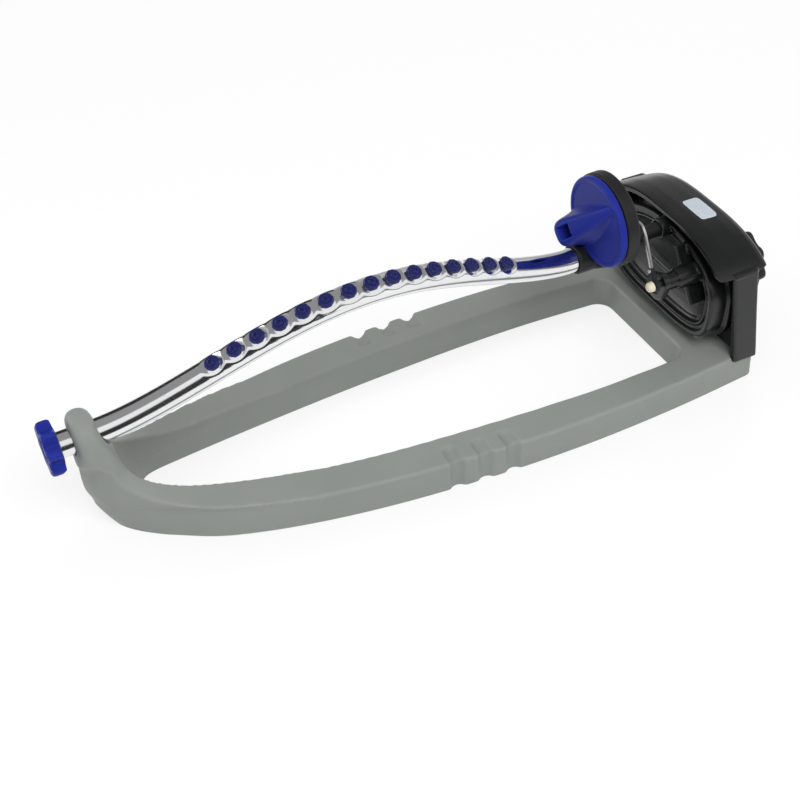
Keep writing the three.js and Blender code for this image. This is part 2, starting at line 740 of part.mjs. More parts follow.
function hood() {
  const wall = 2.8;
  // Each station is x, then how far the outside is drawn in there.
  const stations = [
    [canopyFront, 1.2], [canopyFront + 1.2, 0], [365, -0.6], [377, 0], [canopyBack - 2, 1.8], [canopyBack, 4.4],
  ];
  const outside = stack(stations.map(([x, drawnIn]) => (
    { points: canopySection(canopyTop - drawnIn, canopyHalfWidth - drawnIn, canopySill), at: x }
  )), alongX);
  const inner = canopySection(canopyTop - wall, canopyHalfWidth - wall, canopySill - 3);
  const drawnInner = canopySection(canopyTop - wall - 3, canopyHalfWidth - wall - 3, canopySill - 3);
  const hollow = stack([
    { points: inner, at: canopyFront - 1 },
    { points: inner, at: canopyBack - 5 },
    { points: drawnInner, at: canopyBack + 1 },
  ], alongX);
  const canopy = cut(outside, hollow);
  // Each leg leans forward and in from its foot in the base to the side of the canopy.
  const legRows = [[legFoot, 0], [20, 0.05], [50, 0.55], [79, 1]];
  const legs = [-1, 1].map((side) => stack(legRows.map(([z, t]) => {
    const front = legFront - 8.4 * t;
    const rear = legBack - 8 * t;
    const inside = legInside - 1.8 * t;
    const outside = inside + 4.4 - 1.5 * t;
    const points = [
      new THREE.Vector2(front, inside), new THREE.Vector2(rear, inside),
      new THREE.Vector2(rear, outside - 1), new THREE.Vector2(rear - 1, outside),
      new THREE.Vector2(front + 1, outside), new THREE.Vector2(front, outside - 1),
    ].map((point) => new THREE.Vector2(point.x, side * point.y));
    return { points: side > 0 ? points : points.reverse(), at: z };
  }), upright));
  return join(canopy, ...legs);
}

piece('hood', hood(), 'black', level);

export default sprinkler;
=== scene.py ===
# Arched-tube oscillating lawn sprinkler: the visual model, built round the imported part.
# Lengths in the dictionaries are millimetres, with x = 0 at the front of the base.
import json
import math
import bmesh
import bpy
import numpy as np
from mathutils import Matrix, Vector


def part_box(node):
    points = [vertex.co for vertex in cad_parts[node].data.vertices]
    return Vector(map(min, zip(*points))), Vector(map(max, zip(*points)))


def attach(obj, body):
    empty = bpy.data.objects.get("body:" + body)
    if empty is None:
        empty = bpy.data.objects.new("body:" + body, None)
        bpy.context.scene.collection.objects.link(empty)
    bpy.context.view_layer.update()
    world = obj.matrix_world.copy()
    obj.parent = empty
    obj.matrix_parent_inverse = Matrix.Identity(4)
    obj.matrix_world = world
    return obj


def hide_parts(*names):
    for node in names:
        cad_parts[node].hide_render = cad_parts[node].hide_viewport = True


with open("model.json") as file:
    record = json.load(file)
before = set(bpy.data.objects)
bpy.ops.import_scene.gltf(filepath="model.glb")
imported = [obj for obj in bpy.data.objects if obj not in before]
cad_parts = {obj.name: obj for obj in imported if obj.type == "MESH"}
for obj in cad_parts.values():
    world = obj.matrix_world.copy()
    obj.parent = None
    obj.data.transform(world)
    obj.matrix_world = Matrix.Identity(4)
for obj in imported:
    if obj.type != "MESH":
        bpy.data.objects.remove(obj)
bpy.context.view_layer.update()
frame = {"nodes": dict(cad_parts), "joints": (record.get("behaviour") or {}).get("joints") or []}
print("frame loaded:", len(frame["nodes"]), "nodes")

mm = 0.001
nutEnd = 424                                        # x of the hose nut's rear face
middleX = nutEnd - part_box("hose_nut")[1].x / mm
restLean = math.radians(22)                         # the tube leans to -Y at rest
swing = next(joint for joint in frame["joints"] if joint["name"] == "tube_swing")
driveAlong = np.array(swing["axis"]) / np.linalg.norm(swing["axis"])
driveAcross = np.array([0.0, 1.0, 0.0])
driveUp = np.cross(driveAlong, driveAcross)
jointInset = 2                                      # how far along the drive line the swing joint sits
driveStart = np.array(swing["pos_m"]) / mm - jointInset * driveAlong


# Turns points in millimetres into the shared frame. "level" stands square to the ground,
# "drive" has x along the tube's axis, and "rolled" is drive turned by the lean at rest.
def toFrame(points, where):
    points = np.asarray(points, float)
    if where == "level":
        return (points - [middleX, 0, 0]) * mm
    x, y, z = points[..., 0:1], points[..., 1:2], points[..., 2:3]
    if where == "rolled":
        c, s = math.cos(restLean), math.sin(restLean)
        y, z = y * c - z * s, y * s + z * c
    return (driveStart + x * driveAlong + y * driveAcross + z * driveUp) * mm


# A smooth line through the corners: cubic pieces whose slope at a corner is half the step
# between its two neighbours.
def splineThrough(corners, count):
    corners = np.asarray(corners, float)
    last = len(corners) - 1
    t = np.linspace(0, last, count)
    i = np.minimum(t.astype(int), last - 1)
    w = (t - i)[:, None]
    before, here = corners[np.maximum(i - 1, 0)], corners[i]
    after, beyond = corners[i + 1], corners[np.minimum(i + 2, last)]
    leave, arrive = (after - before) / 2, (beyond - here) / 2
    return ((2 * here - 2 * after + leave + arrive) * w ** 3
            + (3 * after - 3 * here - 2 * leave - arrive) * w ** 2 + leave * w + here)


# Each corner becomes a short parabola that leaves its two sides at one distance from it, and
# takes less than half of either side.
def softened(corners, radius, steps=4, closed=False):
    corners = np.asarray(corners, float)
    back, ahead = np.roll(corners, 1, 0) - corners, np.roll(corners, -1, 0) - corners
    backLength = np.linalg.norm(back, axis=1, keepdims=True)
    aheadLength = np.linalg.norm(ahead, axis=1, keepdims=True)
    reach = np.minimum(radius, 0.45 * np.minimum(backLength, aheadLength))
    start = (corners + back / backLength * reach)[:, None]
    end = (corners + ahead / aheadLength * reach)[:, None]
    t = np.linspace(0, 1, steps + 1)[None, :, None]
    bends = (1 - t) ** 2 * start + 2 * t * (1 - t) * corners[:, None] + t ** 2 * end
    if closed:
        points = bends.reshape(-1, corners.shape[1])
        return np.vstack([points, points[:1]])
    return np.vstack([corners[:1], bends[1:-1].reshape(-1, corners.shape[1]), corners[-1:]])


# Moves an anticlockwise outline inwards, square to the line between each point's neighbours.
def inset(outline, distance):
    along = np.roll(outline, -1, 0) - np.roll(outline, 1, 0)
    along /= np.linalg.norm(along, axis=1, keepdims=True)
    return outline + distance * np.column_stack([-along[:, 1], along[:, 0]])


# x and y are powers of the cosine and sine of one turn, which squares the ellipse up.
def superellipse(halfWidth, halfHeight, power, count, centre=(0, 0)):
    turn = np.linspace(0, 2 * np.pi, count, endpoint=False)
    c, s = np.cos(turn), np.sin(turn)
    return np.column_stack([centre[0] + halfWidth * np.sign(c) * np.abs(c) ** (2 / power),
                            centre[1] + halfHeight * np.sign(s) * np.abs(s) ** (2 / power)])


# A superellipse of power two.
def circle(radius, count=32, centre=(0, 0)):
    return superellipse(radius, radius, 2, count, centre)


# Two arcs of different radius joined by their outer tangents.
def tearDrop(bigCentre, bigRadius, smallCentre, smallRadius, count=48):
    way = np.array(smallCentre, float) - np.array(bigCentre, float)
    heading = math.atan2(way[1], way[0])
    spread = math.acos((bigRadius - smallRadius) / np.linalg.norm(way))
    big = np.linspace(heading + spread, heading - spread + 2 * np.pi, count)
    small = np.linspace(heading - spread, heading + spread, count // 2)
    return np.vstack([np.array(bigCentre) + bigRadius * np.column_stack([np.cos(big), np.sin(big)]),
                      np.array(smallCentre) + smallRadius * np.column_stack([np.cos(small), np.sin(small)])])


# Quads between neighbouring rows of a grid, each row closed round.
def gridFaces(rows, columns, wrapRows=False):
    r = np.arange(rows if wrapRows else rows - 1)[:, None]
    c = np.arange(columns)[None, :]
    nextRow, nextColumn = (r + 1) % rows, (c + 1) % columns
    quads = [r * columns + c, r * columns + nextColumn, nextRow * columns + nextColumn, nextRow * columns + c]
    return np.stack(quads, axis=-1).reshape(-1, 4).tolist()


# Puts points and faces into a mesh in the shared frame, merged and facing outwards.
def meshOf(points, faces, where="level"):
    mesh = bpy.data.meshes.new("shape")
    mesh.from_pydata(toFrame(points, where).reshape(-1, 3).tolist(), [], faces)
    work = bmesh.new()
    work.from_mesh(mesh)
    bmesh.ops.remove_doubles(work, verts=work.verts, dist=2e-6)
    bmesh.ops.recalc_face_normals(work, faces=work.faces)
    work.to_mesh(mesh)
    work.free()
    return mesh


# A closed body from rows of points, with a flat lid on its first and last row.
def stacked(rows, where="level"):
    rows = np.asarray(rows, float)
    count, columns = rows.shape[:2]
    faces = gridFaces(count, columns)
    faces.append(list(range(columns)))
    faces.append(list(range((count - 1) * columns, count * columns)))
    return meshOf(rows, faces, where)


# A flat outline lifted to one height.
def upright(outline, z):
    return np.column_stack([outline, np.full(len(outline), z)])


# A flat outline in (y, z) stood at one x.
def facingX(outline, x):
    return np.column_stack([np.full(len(outline), x), outline])


# An outline in (y, z) carried along x, drawn in by a quarter circle at both faces. The quarter
# circle's radius is the edge.
def plate(outline, start, end, edge, where="level"):
    turn = np.linspace(0, np.pi / 2, 5)
    drawn, depth = edge * (1 - np.sin(turn)), edge * (1 - np.cos(turn))
    stations = list(zip(start + depth, drawn)) + list(zip(end - depth, drawn))[::-1]
    return stacked([facingX(inset(outline, d), x) for x, d in stations], where)


# A profile of [radius, x] with softened corners, turned about the x axis. Its radius may swell
# in lobes, by the third number of each row times the cosine of the turn times their number.
def turned(profile, edge, segments=48, where="level", centre=(0, 0), lobes=0, closed=False):
    profile = softened(profile, edge, closed=closed)
    turn = np.linspace(0, 2 * np.pi, segments, endpoint=False)[None, :]
    radius = profile[:, 0:1] + (profile[:, 2:3] * np.cos(lobes * turn) if lobes else 0 * turn)
    x = np.broadcast_to(profile[:, 1:2], radius.shape)
    points = np.stack([x, centre[0] + radius * np.cos(turn), centre[1] + radius * np.sin(turn)], axis=-1)
    return meshOf(points, gridFaces(*radius.shape), where)


# A rectangle turned about its own edge.
def rod(radius, start, end, where="level", centre=(0, 0), edge=0.3, segments=40):
    return turned([[0, start], [radius, start], [radius, end], [0, end]], edge, segments, where, centre)


# A rectangle turned about a line outside it.
def ring(inner, outer, start, end, where="level", centre=(0, 0), edge=0.25, segments=64):
    corners = [[inner, start], [outer, start], [outer, end], [inner, end]]
    return turned(corners, edge, segments, where, centre, closed=True)


# A rectangle stacked between two heights.
def box(low, high):
    (x0, y0, z0), (x1, y1, z1) = low, high
    loop = np.array([[x0, y0], [x1, y0], [x1, y1], [x0, y1]], float)
    return stacked([upright(loop, z0), upright(loop, z1)])


# A new object in the scene, at the origin and unturned.
def inScene(name, data):
    made = bpy.data.objects.new(name, data)
    bpy.context.scene.collection.objects.link(made)
    return made


# Keeps, joins and cuts solid bodies, in that order. A finish holds a voxel size, at which the
# surface is rebuilt, and steps of smoothing, which give every edge a small moulded radius.
def carved(start, kept=(), joins=(), cuts=(), finish=None):
    body = inScene("work", start)
    helpers = [body]
    for operation, meshes in (("INTERSECT", kept), ("UNION", joins), ("DIFFERENCE", cuts)):
        for mesh in meshes:
            helper = inScene("helper", mesh)
            helpers.append(helper)
            change = body.modifiers.new("change", "BOOLEAN")
            change.operation, change.object, change.solver = operation, helper, "MANIFOLD"
    if finish:
        even = body.modifiers.new("even", "REMESH")
        even.mode, even.voxel_size = "VOXEL", finish["voxel"] * mm
        soft = body.modifiers.new("soft", "SMOOTH")
        soft.factor, soft.iterations = 0.5, finish["smoothing"]
    made = bpy.data.meshes.new_from_object(body.evaluated_get(bpy.context.evaluated_depsgraph_get()))
    for helper in helpers:
        bpy.data.objects.remove(helper)
    return made


# A finished mesh becomes a piece that rides on one body. Edges sharper than crease, in
# degrees, stay sharp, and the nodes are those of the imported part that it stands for.
def addPiece(name, mesh, material, body, slotName, *nodes, crease=0):
    mesh.name = name
    mesh.materials.clear()
    mesh.materials.append(material)
    mesh.shade_smooth()
    if crease:
        mesh.set_sharp_from_angle(angle=math.radians(crease))
    piece = inScene(name, mesh)
    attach(piece, body)
    if nodes:
        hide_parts(*nodes)


# A node group whose sockets all hold plain numbers.
def newGroup(name, inputs, outputs):
    group = bpy.data.node_groups.new(name, "ShaderNodeTree")
    for label, value in inputs.items():
        group.interface.new_socket(label, in_out="INPUT", socket_type="NodeSocketFloat").default_value = value
    for label in outputs:
        group.interface.new_socket(label, in_out="OUTPUT", socket_type="NodeSocketFloat")
    return group, group.nodes.new("NodeGroupInput").outputs, group.nodes.new("NodeGroupOutput").inputs


# Each input is linked where it is another node's socket, and set where it is a value.
def addNode(tree, kind, inputs=(), **settings):
    node = tree.nodes.new(kind)
    for name, value in settings.items():
        setattr(node, name, value)
    for socket, value in dict(inputs).items():
        if isinstance(value, bpy.types.NodeSocket):
            tree.links.new(value, node.inputs[socket])
        else:
            node.inputs[socket].default_value = value
    return node


# The next three are nodes that take sockets or plain values, and give back their result's socket.
def maths(tree, operation, first, second, third=0.5, clamp=False):
    inputs = {0: first, 1: second, 2: third}
    return addNode(tree, "ShaderNodeMath", inputs, operation=operation, use_clamp=clamp).outputs[0]


# The first colour where the amount is 0, and the second where it is 1.
def mixed(tree, amount, first, second):
    return addNode(tree, "ShaderNodeMix", {0: amount, 6: first, 7: second}, data_type="RGBA").outputs[2]


# 0 up to the low value, rising evenly to 1 at the high one.
def mapped(tree, value, low, high):
    return addNode(tree, "ShaderNodeMapRange", {"Value": value, "From Min": low, "From Max": high}).outputs[0]


# Noise on Object coordinates, whose size in millimetres comes from one of the group's inputs.
def sizedNoise(group, size, details):
    place = addNode(group, "ShaderNodeTexCoord").outputs["Object"]
    scale = maths(group, "DIVIDE", 1 / mm, size)
    return addNode(group, "ShaderNodeTexNoise", {"Vector": place, "Scale": scale, **details}).outputs[0]


# Fine grain of the mould, and slow changes of tone over the part.
def mouldGroup():
    group, given, out = newGroup("mouldedSurface", {"Grain size": 0.8, "Tone size": 40.0}, ("Height", "Tone"))
    grain = sizedNoise(group, given["Grain size"], {"Detail": 3.0, "Roughness": 0.6})
    tone = sizedNoise(group, given["Tone size"], {"Detail": 4.0, "Roughness": 0.55})
    group.links.new(grain, out["Height"])
    group.links.new(tone, out["Tone"])
    return group


# Light rubbing and a painted edge highlight where the surface turns sharply outwards, broken up by noise.
def rubAndHighlightGroup():
    group, given, out = newGroup("edgeRubAndHighlight", {"Amount": 0.5, "Break up": 6.0}, ("Mask",))
    sharp = addNode(group, "ShaderNodeNewGeometry").outputs["Pointiness"]
    noise = sizedNoise(group, given["Break up"], {"Detail": 5.0})
    broken = maths(group, "MULTIPLY", mapped(group, sharp, 0.505, 0.56), maths(group, "MULTIPLY", noise, 1.6))
    group.links.new(maths(group, "MULTIPLY", broken, given["Amount"], clamp=True), out["Mask"])
    return group


# Handling marks: blurred smudges, and thin dust on faces that look up.
def handlingGroup():
    group, given, out = newGroup("handling", {"Smudge size": 14.0}, ("Smudge", "Dust"))
    noise = sizedNoise(group, given["Smudge size"], {"Detail": 6.0, "Roughness": 0.65, "Distortion": 0.8})
    normal = addNode(group, "ShaderNodeNewGeometry").outputs["Normal"]
    upward = addNode(group, "ShaderNodeSeparateXYZ", {0: normal}).outputs[2]
    group.links.new(mapped(group, noise, 0.42, 0.68), out["Smudge"])
    group.links.new(maths(group, "MULTIPLY", mapped(group, upward, 0.35, 1.0), noise), out["Dust"])
    return group


mouldedSurface, edgeRubAndHighlight, handling = mouldGroup(), rubAndHighlightGroup(), handlingGroup()


# A group with its own values, where an underscore stands for the space in a socket's name.
def useGroup(tree, group, **values):
    node = addNode(tree, "ShaderNodeGroup", node_tree=group)
    for label, value in values.items():
        node.inputs[label.replace("_", " ")].default_value = value
    return node.outputs


# A material with its node tree and its Principled BSDF.
def newMaterial(name):
    material = bpy.data.materials.new(name)
    material.use_nodes = True
    tree = material.node_tree
    return material, tree, tree.nodes["Principled BSDF"]


# Roughness that follows one mask a little and the smudges a little, and a bump from a height.
def finishSurface(tree, shader, look, colour, mask, smudge, height, depth):
    rough = maths(tree, "MULTIPLY_ADD", mask, look["roughChange"], look["rough"])
    rough = maths(tree, "MULTIPLY_ADD", smudge, look["smudge"], rough)
    inputs = {"Height": height, "Strength": look["bump"], "Distance": depth * mm}
    bump = addNode(tree, "ShaderNodeBump", inputs)
    tree.links.new(colour, shader.inputs["Base Color"])
    tree.links.new(rough, shader.inputs["Roughness"])
    tree.links.new(bump.outputs[0], shader.inputs["Normal"])


# Moulded plastic: two near tones, paler edges for rubbing and a painted edge highlight, and a little dust.
def moulded(name, look):
    dustColour, grainDepth = (0.42, 0.42, 0.4, 1), 0.12
    material, tree, shader = newMaterial(name)
    surface = useGroup(tree, mouldedSurface, Grain_size=look["grain"], Tone_size=look["toneSize"])
    marks = useGroup(tree, handling)
    colour = mixed(tree, surface["Tone"], (*look["deep"], 1), (*look["pale"], 1))
    # the paler edge colour stands for rubbing and also paints a highlight along the edges
    colour = mixed(tree, useGroup(tree, edgeRubAndHighlight, Amount=look["rubAndHighlight"])["Mask"], colour, (*look["rubbedAndLitEdge"], 1))
    colour = mixed(tree, maths(tree, "MULTIPLY", marks["Dust"], look["dust"]), colour, dustColour)
    finishSurface(tree, shader, look, colour, surface["Tone"], marks["Smudge"], surface["Height"], grainDepth)
    shader.inputs["Specular IOR Level"].default_value = look["gloss"]
    return material


# Linear colours, sizes in millimetres, and shares from 0 to 1.
# Each look's paler edge colour and its amount serve both rubbed wear and a painted edge highlight.
plasticLooks = {
    "basePlastic": dict(deep=(0.2, 0.216, 0.203), pale=(0.246, 0.262, 0.247), rubbedAndLitEdge=(0.32, 0.335, 0.318),
                        grain=0.7, toneSize=60.0, rubAndHighlight=0.45, dust=0.05, rough=0.42, roughChange=0.08,
                        smudge=0.05, bump=0.22, gloss=0.35),
    "dialBlue": dict(deep=(0.008, 0.015, 0.18), pale=(0.014, 0.024, 0.245), rubbedAndLitEdge=(0.03, 0.06, 0.4),
                     grain=0.9, toneSize=24.0, rubAndHighlight=0.5, dust=0.008, rough=0.3, roughChange=0.08,
                     smudge=0.06, bump=0.1, gloss=0.1),
    "nozzleNavy": dict(deep=(0.005, 0.006, 0.06), pale=(0.009, 0.011, 0.1), rubbedAndLitEdge=(0.02, 0.03, 0.2),
                       grain=0.5, toneSize=6.0, rubAndHighlight=0.4, dust=0.0, rough=0.26, roughChange=0.08,
                       smudge=0.06, bump=0.12, gloss=0.4),
    "glossBlack": dict(deep=(0.003, 0.0033, 0.0036), pale=(0.007, 0.0074, 0.008), rubbedAndLitEdge=(0.03, 0.032, 0.035),
                       grain=0.8, toneSize=34.0, rubAndHighlight=0.4, dust=0.008, rough=0.22, roughChange=0.05,
                       smudge=0.04, bump=0.05, gloss=0.45),
    "satinBlack": dict(deep=(0.005, 0.0052, 0.0055), pale=(0.009, 0.0092, 0.0095), rubbedAndLitEdge=(0.04, 0.04, 0.04),
                       grain=0.7, toneSize=20.0, rubAndHighlight=0.4, dust=0.015, rough=0.4, roughChange=0.12,
                       smudge=0.08, bump=0.25, gloss=0.35),
    "sealRubber": dict(deep=(0.008, 0.008, 0.0085), pale=(0.014, 0.014, 0.014), rubbedAndLitEdge=(0.03, 0.03, 0.03),
                       grain=0.4, toneSize=8.0, rubAndHighlight=0.3, dust=0.08, rough=0.68, roughChange=0.14,
                       smudge=0.06, bump=0.4, gloss=0.3),
    "creamPlastic": dict(deep=(0.6, 0.54, 0.4), pale=(0.72, 0.66, 0.5), rubbedAndLitEdge=(0.8, 0.76, 0.62),
                         grain=0.4, toneSize=5.0, rubAndHighlight=0.4, dust=0.05, rough=0.34, roughChange=0.1,
                         smudge=0.06, bump=0.15, gloss=0.4),
    "ivoryPlastic": dict(deep=(0.62, 0.6, 0.53), pale=(0.7, 0.68, 0.61), rubbedAndLitEdge=(0.76, 0.75, 0.7),
                         grain=0.5, toneSize=7.0, rubAndHighlight=0.3, dust=0.05, rough=0.42, roughChange=0.1,
                         smudge=0.05, bump=0.2, gloss=0.4),
    "blankLabel": dict(deep=(0.4, 0.45, 0.5), pale=(0.5, 0.55, 0.6), rubbedAndLitEdge=(0.62, 0.66, 0.7),
                       grain=1.6, toneSize=5.0, rubAndHighlight=0.6, dust=0.1, rough=0.3, roughChange=0.2,
                       smudge=0.15, bump=0.3, gloss=0.4),
}
plastics = {name: moulded(name, look) for name, look in plasticLooks.items()}


# Bright metal with fine drawn lines: noise that is stretched along the piece, on its UV map or
# on Object coordinates, with stains under the smudges.
def drawnMetal(name, look):
    rubAndHighlightAmount, rubAndHighlightColour, stainShare, lineDepth = 0.4, (0.95, 0.95, 0.96, 1), 0.12, 0.02
    material, tree, shader = newMaterial(name)
    place = addNode(tree, "ShaderNodeTexCoord").outputs["UV" if look["onMap"] else "Object"]
    stretched = addNode(tree, "ShaderNodeMapping", {0: place, "Scale": look["stretch"]}).outputs[0]
    lines = addNode(tree, "ShaderNodeTexNoise", {"Vector": stretched, "Scale": 1.0, "Detail": 4.0}).outputs[0]
    marks = useGroup(tree, handling, Smudge_size=look["smudgeSize"])
    colour = mixed(tree, lines, (*look["deep"], 1), (*look["pale"], 1))
    colour = mixed(tree, maths(tree, "MULTIPLY", marks["Smudge"], stainShare), colour, (*look["stain"], 1))
    # edges are paled towards white by the shared mask: rubbing, and a painted edge highlight
    colour = mixed(tree, useGroup(tree, edgeRubAndHighlight, Amount=rubAndHighlightAmount)["Mask"], colour, rubAndHighlightColour)
    finishSurface(tree, shader, look, colour, lines, marks["Smudge"], lines, lineDepth)
    shader.inputs["Metallic"].default_value = 1.0
    return material


metalLooks = {
    "drawnAluminium": dict(deep=(0.78, 0.785, 0.8), pale=(0.9, 0.9, 0.91), stain=(0.6, 0.6, 0.62),
                           onMap=True, stretch=(6.0, 160.0, 1.0), rough=0.07, roughChange=0.1,
                           smudge=0.05, smudgeSize=16.0, bump=0.25),
    "zincSteel": dict(deep=(0.5, 0.5, 0.5), pale=(0.72, 0.72, 0.71), stain=(0.35, 0.34, 0.32),
                      onMap=False, stretch=(900.0, 900.0, 120.0), rough=0.22, roughChange=0.14,
                      smudge=0.1, smudgeSize=5.0, bump=0.4),
}
metals = {name: drawnMetal(name, look) for name, look in metalLooks.items()}
print("finishes made:", len(plastics) + len(metals))

base = {
    # x and y down one side from the nose: the outside, and the opening at the ground and at the top
    "outerSide": [[8.5, 0], [11, -7.5], [17, -14.8], [25, -21.4], [35, -28], [60, -41.2], [100, -52.5],
                  [150, -60.8], [210, -65.8], [270, -67], [330, -64.3], [384, -59.2]],
    "innerSide": [[28, 0], [28.3, -7], [29.6, -13.5], [33, -19.5], [40, -23.2], [60, -26.2], [90, -29.8],
                  [125, -33.4], [155, -36.2], [192, -39], [243, -42], [290, -43], [339, -41.5]],
    "innerTop": [[26.8, 0], [27.2, -4.4], [29.2, -9], [33.6, -13], [43.5, -17], [62, -21.6], [90, -28.4],
                 [125, -35], [155, -39.2], [192, -42.2], [243, -45], [290, -46], [339, -44.5]],
    "rear": 390, "crossbarFront": 349, "railHeight": 18.3, "outerCorner": 6, "innerCorner": 10,
    "leanEnd": 60,
    # height, how far the outline is drawn in, and how far the nose leans forward
    "shell": [[-5, 0, -4], [0, 0, 0], [6, 0.5, 5.8], [13.6, 0.8, 11.2], [16.6, 0.9, 12], [17.7, 1.2, 12.2],
              [18.3, 2, 12.2]],
    "postWalls": [[6, 0.5, 5.8], [14, 0.8, 11.3], [18, 0.5, 11.8], [20, -0.2, 11.5], [22, -1.2, 10.9],
                  [24, -2, 10.4], [28, -2.5, 10.8], [32, -2.1, 11.8], [37, -1.2, 13.8], [44, -0.5, 16],
                  [50, -2, 20], [56, -4, 22], [80, -8, 24]],
    # height, front x, rear x, half width and squareness
    "post": [[15.7, -12, 140, 70, 2.4], [18.3, -12, 128, 62, 2.4], [19.5, -12, 116, 57, 2.4],
             [20.6, -12, 102, 51, 2.4], [22, -11, 84, 43.5, 2.4], [24, -10, 66, 37, 2.4],
             [26.5, -9, 54, 31.6, 2.5], [29, -7, 45.5, 27.4, 2.6], [32, -6, 37, 23.6, 2.8],
             [35.5, -5.2, 29, 20.4, 2.9], [39, -4.6, 23, 18, 3], [43, -4.3, 18.8, 16.8, 3.1],
             [50, -4.2, 16.2, 16.2, 3.2], [57, -4.4, 13.6, 15.6, 3.2], [64.5, -4.9, 10.4, 14.9, 3],
             [69, -5, 9, 13, 2.7], [72.6, -4.4, 7.8, 10, 2.4], [74.8, -3, 6.2, 6.6, 2.2],
             [75.7, -1.2, 4.2, 3.2, 2]],
    # height, share of the top line in the mix of both, how far it is drawn in, how far its nose leans
    "opening": [[-8, 0, 0, 0], [0, 0, 0, 0], [6, 0.12, 0, 4], [12, 0.36, 0, 12], [16, 0.68, -0.2, 19],
                [18.4, 0.8, -0.7, 20], [24, 0.8, -2.2, 20.5], [30, 0.8, -2.6, 22], [40, 0.8, -3, 24],
                [52, 0.8, -3, 27]],
    # the rounded rib down the post's back: height and its middle's x
    "rib": [[-9, 24.4], [0, 23.8], [16, 18.3], [25.5, 15.8], [34, 14.5], [42.5, 13.8], [53, 12.2]],
    "ribRadius": 3.4,
    # radius, front and rear x on the drive line
    "bushSeat": (9.9, -5, 4), "bore": (8.1, -14, 18),
    # x and the outer wall's y there, and a groove's radius, depth, start inside the wall, and lean
    "grooves": [[184.5, 64.1], [201.5, 65.2], [218.5, 66]],
    "grooveRadius": 5.8, "grooveDepth": 2.2, "grooveInset": 14, "grooveLean": 0.085,
    # underneath: wall and draft, x of the webs across, y of the webs along, and half their thickness
    "wall": 2.8, "draft": 1.4, "webs": [70, 120, 170, 220, 270, 320], "barWebs": (-30, 30), "halfWeb": 1,
    # half length, middle's y and half width of the solid kept under a groove
    "grooveBlock": (7, 57, 11),
    # front and rear x, inside y, width, floor and height of the seat for a hood leg
    "legSeat": (370.9, 388.1, 56.1, 10, 15.3, 6),
    "voxel": 0.95, "smoothing": 5,
}


# One side's line and a quarter circle at the rear, then the same mirrored back to the nose.
def mirroredLoop(side, count, cornerX, radius):
    near = splineThrough(side, count)
    turn = np.linspace(0, np.pi / 2, 10)[1:, None]
    corner = np.hstack([cornerX - radius + radius * np.sin(turn), near[-1, 1] + radius * (1 - np.cos(turn))])
    near = np.vstack([near, corner])
    return np.vstack([near, near[:0:-1] * [1, -1]])


# The nose leans forward, and the lean dies out along the rails with the square of the way left.
def leaned(outline, amount):
    share = np.maximum(0, 1 - outline[:, 0] / base["leanEnd"])
    return outline - np.column_stack([amount * share ** 2, 0 * share])


# The outline drawn in and leaned by each row's own amounts, on a smooth line through the rows.
def leanedStack(outline, rows):
    return stacked([upright(leaned(inset(outline, drawn), lean), z)
                    for z, drawn, lean in splineThrough(rows, 30)])


# A squared ellipse at each height, kept inside the outline's own walls.
def makePost(b, outer):
    post = stacked([
        upright(superellipse((rear - front) / 2, half, power, 72, ((rear + front) / 2, 0)), z)
        for z, front, rear, half, power in splineThrough(b["post"], 70)
    ])
    return carved(post, kept=[leanedStack(outer, b["postWalls"])])


# At each height a mix of the two inner lines, with the post's rounded rib left out of it.
def makeOpening(b, inner):
    innerTop = mirroredLoop(b["innerTop"], 130, b["crossbarFront"], b["innerCorner"])
    opening = stacked([
        upright(leaned(inset(inner + (innerTop - inner) * share, drawn), lean), z)
        for z, share, drawn, lean in splineThrough(b["opening"], 40)
    ])
    rib = stacked([upright(circle(b["ribRadius"], centre=(x, 0)), z) for z, x in splineThrough(b["rib"], 24)])
    return carved(opening, cuts=[rib])


# The hollow underneath: the outline drawn in by the wall, less the opening's wall, the webs and
# the solid under each groove.
def makePocket(b, outer, inner):
    wall, drafted, top = b["wall"], b["wall"] + b["draft"], b["railHeight"] - b["wall"]
    pocket = stacked([upright(inset(outer, wall), -1), upright(inset(outer, drafted), top)])
    island = stacked([upright(inset(inner, -wall), -2), upright(inset(inner, -drafted), top + 1)])
    half, (length, middle, width) = b["halfWeb"], b["grooveBlock"]
    side, low, high = 100, -2, 20                       # past the hollow on every side
    kept = [box((x - half, -side, low), (x + half, side, high)) for x in b["webs"]]
    kept += [box((b["crossbarFront"], y - half, low), (b["rear"], y + half, high)) for y in b["barWebs"]]
    kept += [box((x - length, y - width, low), (x + length, y + width, high))
             for x, _ in b["grooves"] for y in (-middle, middle)]
    return carved(pocket, cuts=[island, *kept])


# A softened rectangle turned about a line along y, from one place outwards.
def acrossRail(radius, x, y, z, side):
    length = 40
    profile = softened([[0, 0], [radius, 0], [radius, length], [0, length]], radius, 8)
    turn = np.linspace(0, 2 * np.pi, 32, endpoint=False)[None, :]
    out, along = profile[:, 0:1], profile[:, 1:2] + 0 * turn
    points = np.stack([x + out * np.cos(turn), y + side * along, z + out * np.sin(turn)], axis=-1)
    return meshOf(points, gridFaces(len(profile), 32))


# A circle carried upwards on a line that leans in towards the rail, to follow its wall.
def downRail(radius, x, y, lean):
    reach = 30.0
    return stacked([upright(circle(radius) + [x, y - math.tan(lean) * z], z) for z in (-reach, reach)])


# Each groove is a scallop over the rail's top, and another down its outer wall.
def grooveCutters(b, side):
    radius, lift = b["grooveRadius"], b["grooveRadius"] - b["grooveDepth"]
    cutters = []
    for x, wallY in b["grooves"]:
        inside = side * (wallY - b["grooveInset"])
        cutters.append(acrossRail(radius, x, inside, b["railHeight"] + lift, side))
        cutters.append(downRail(radius, x, side * (wallY + lift), side * b["grooveLean"]))
    return cutters


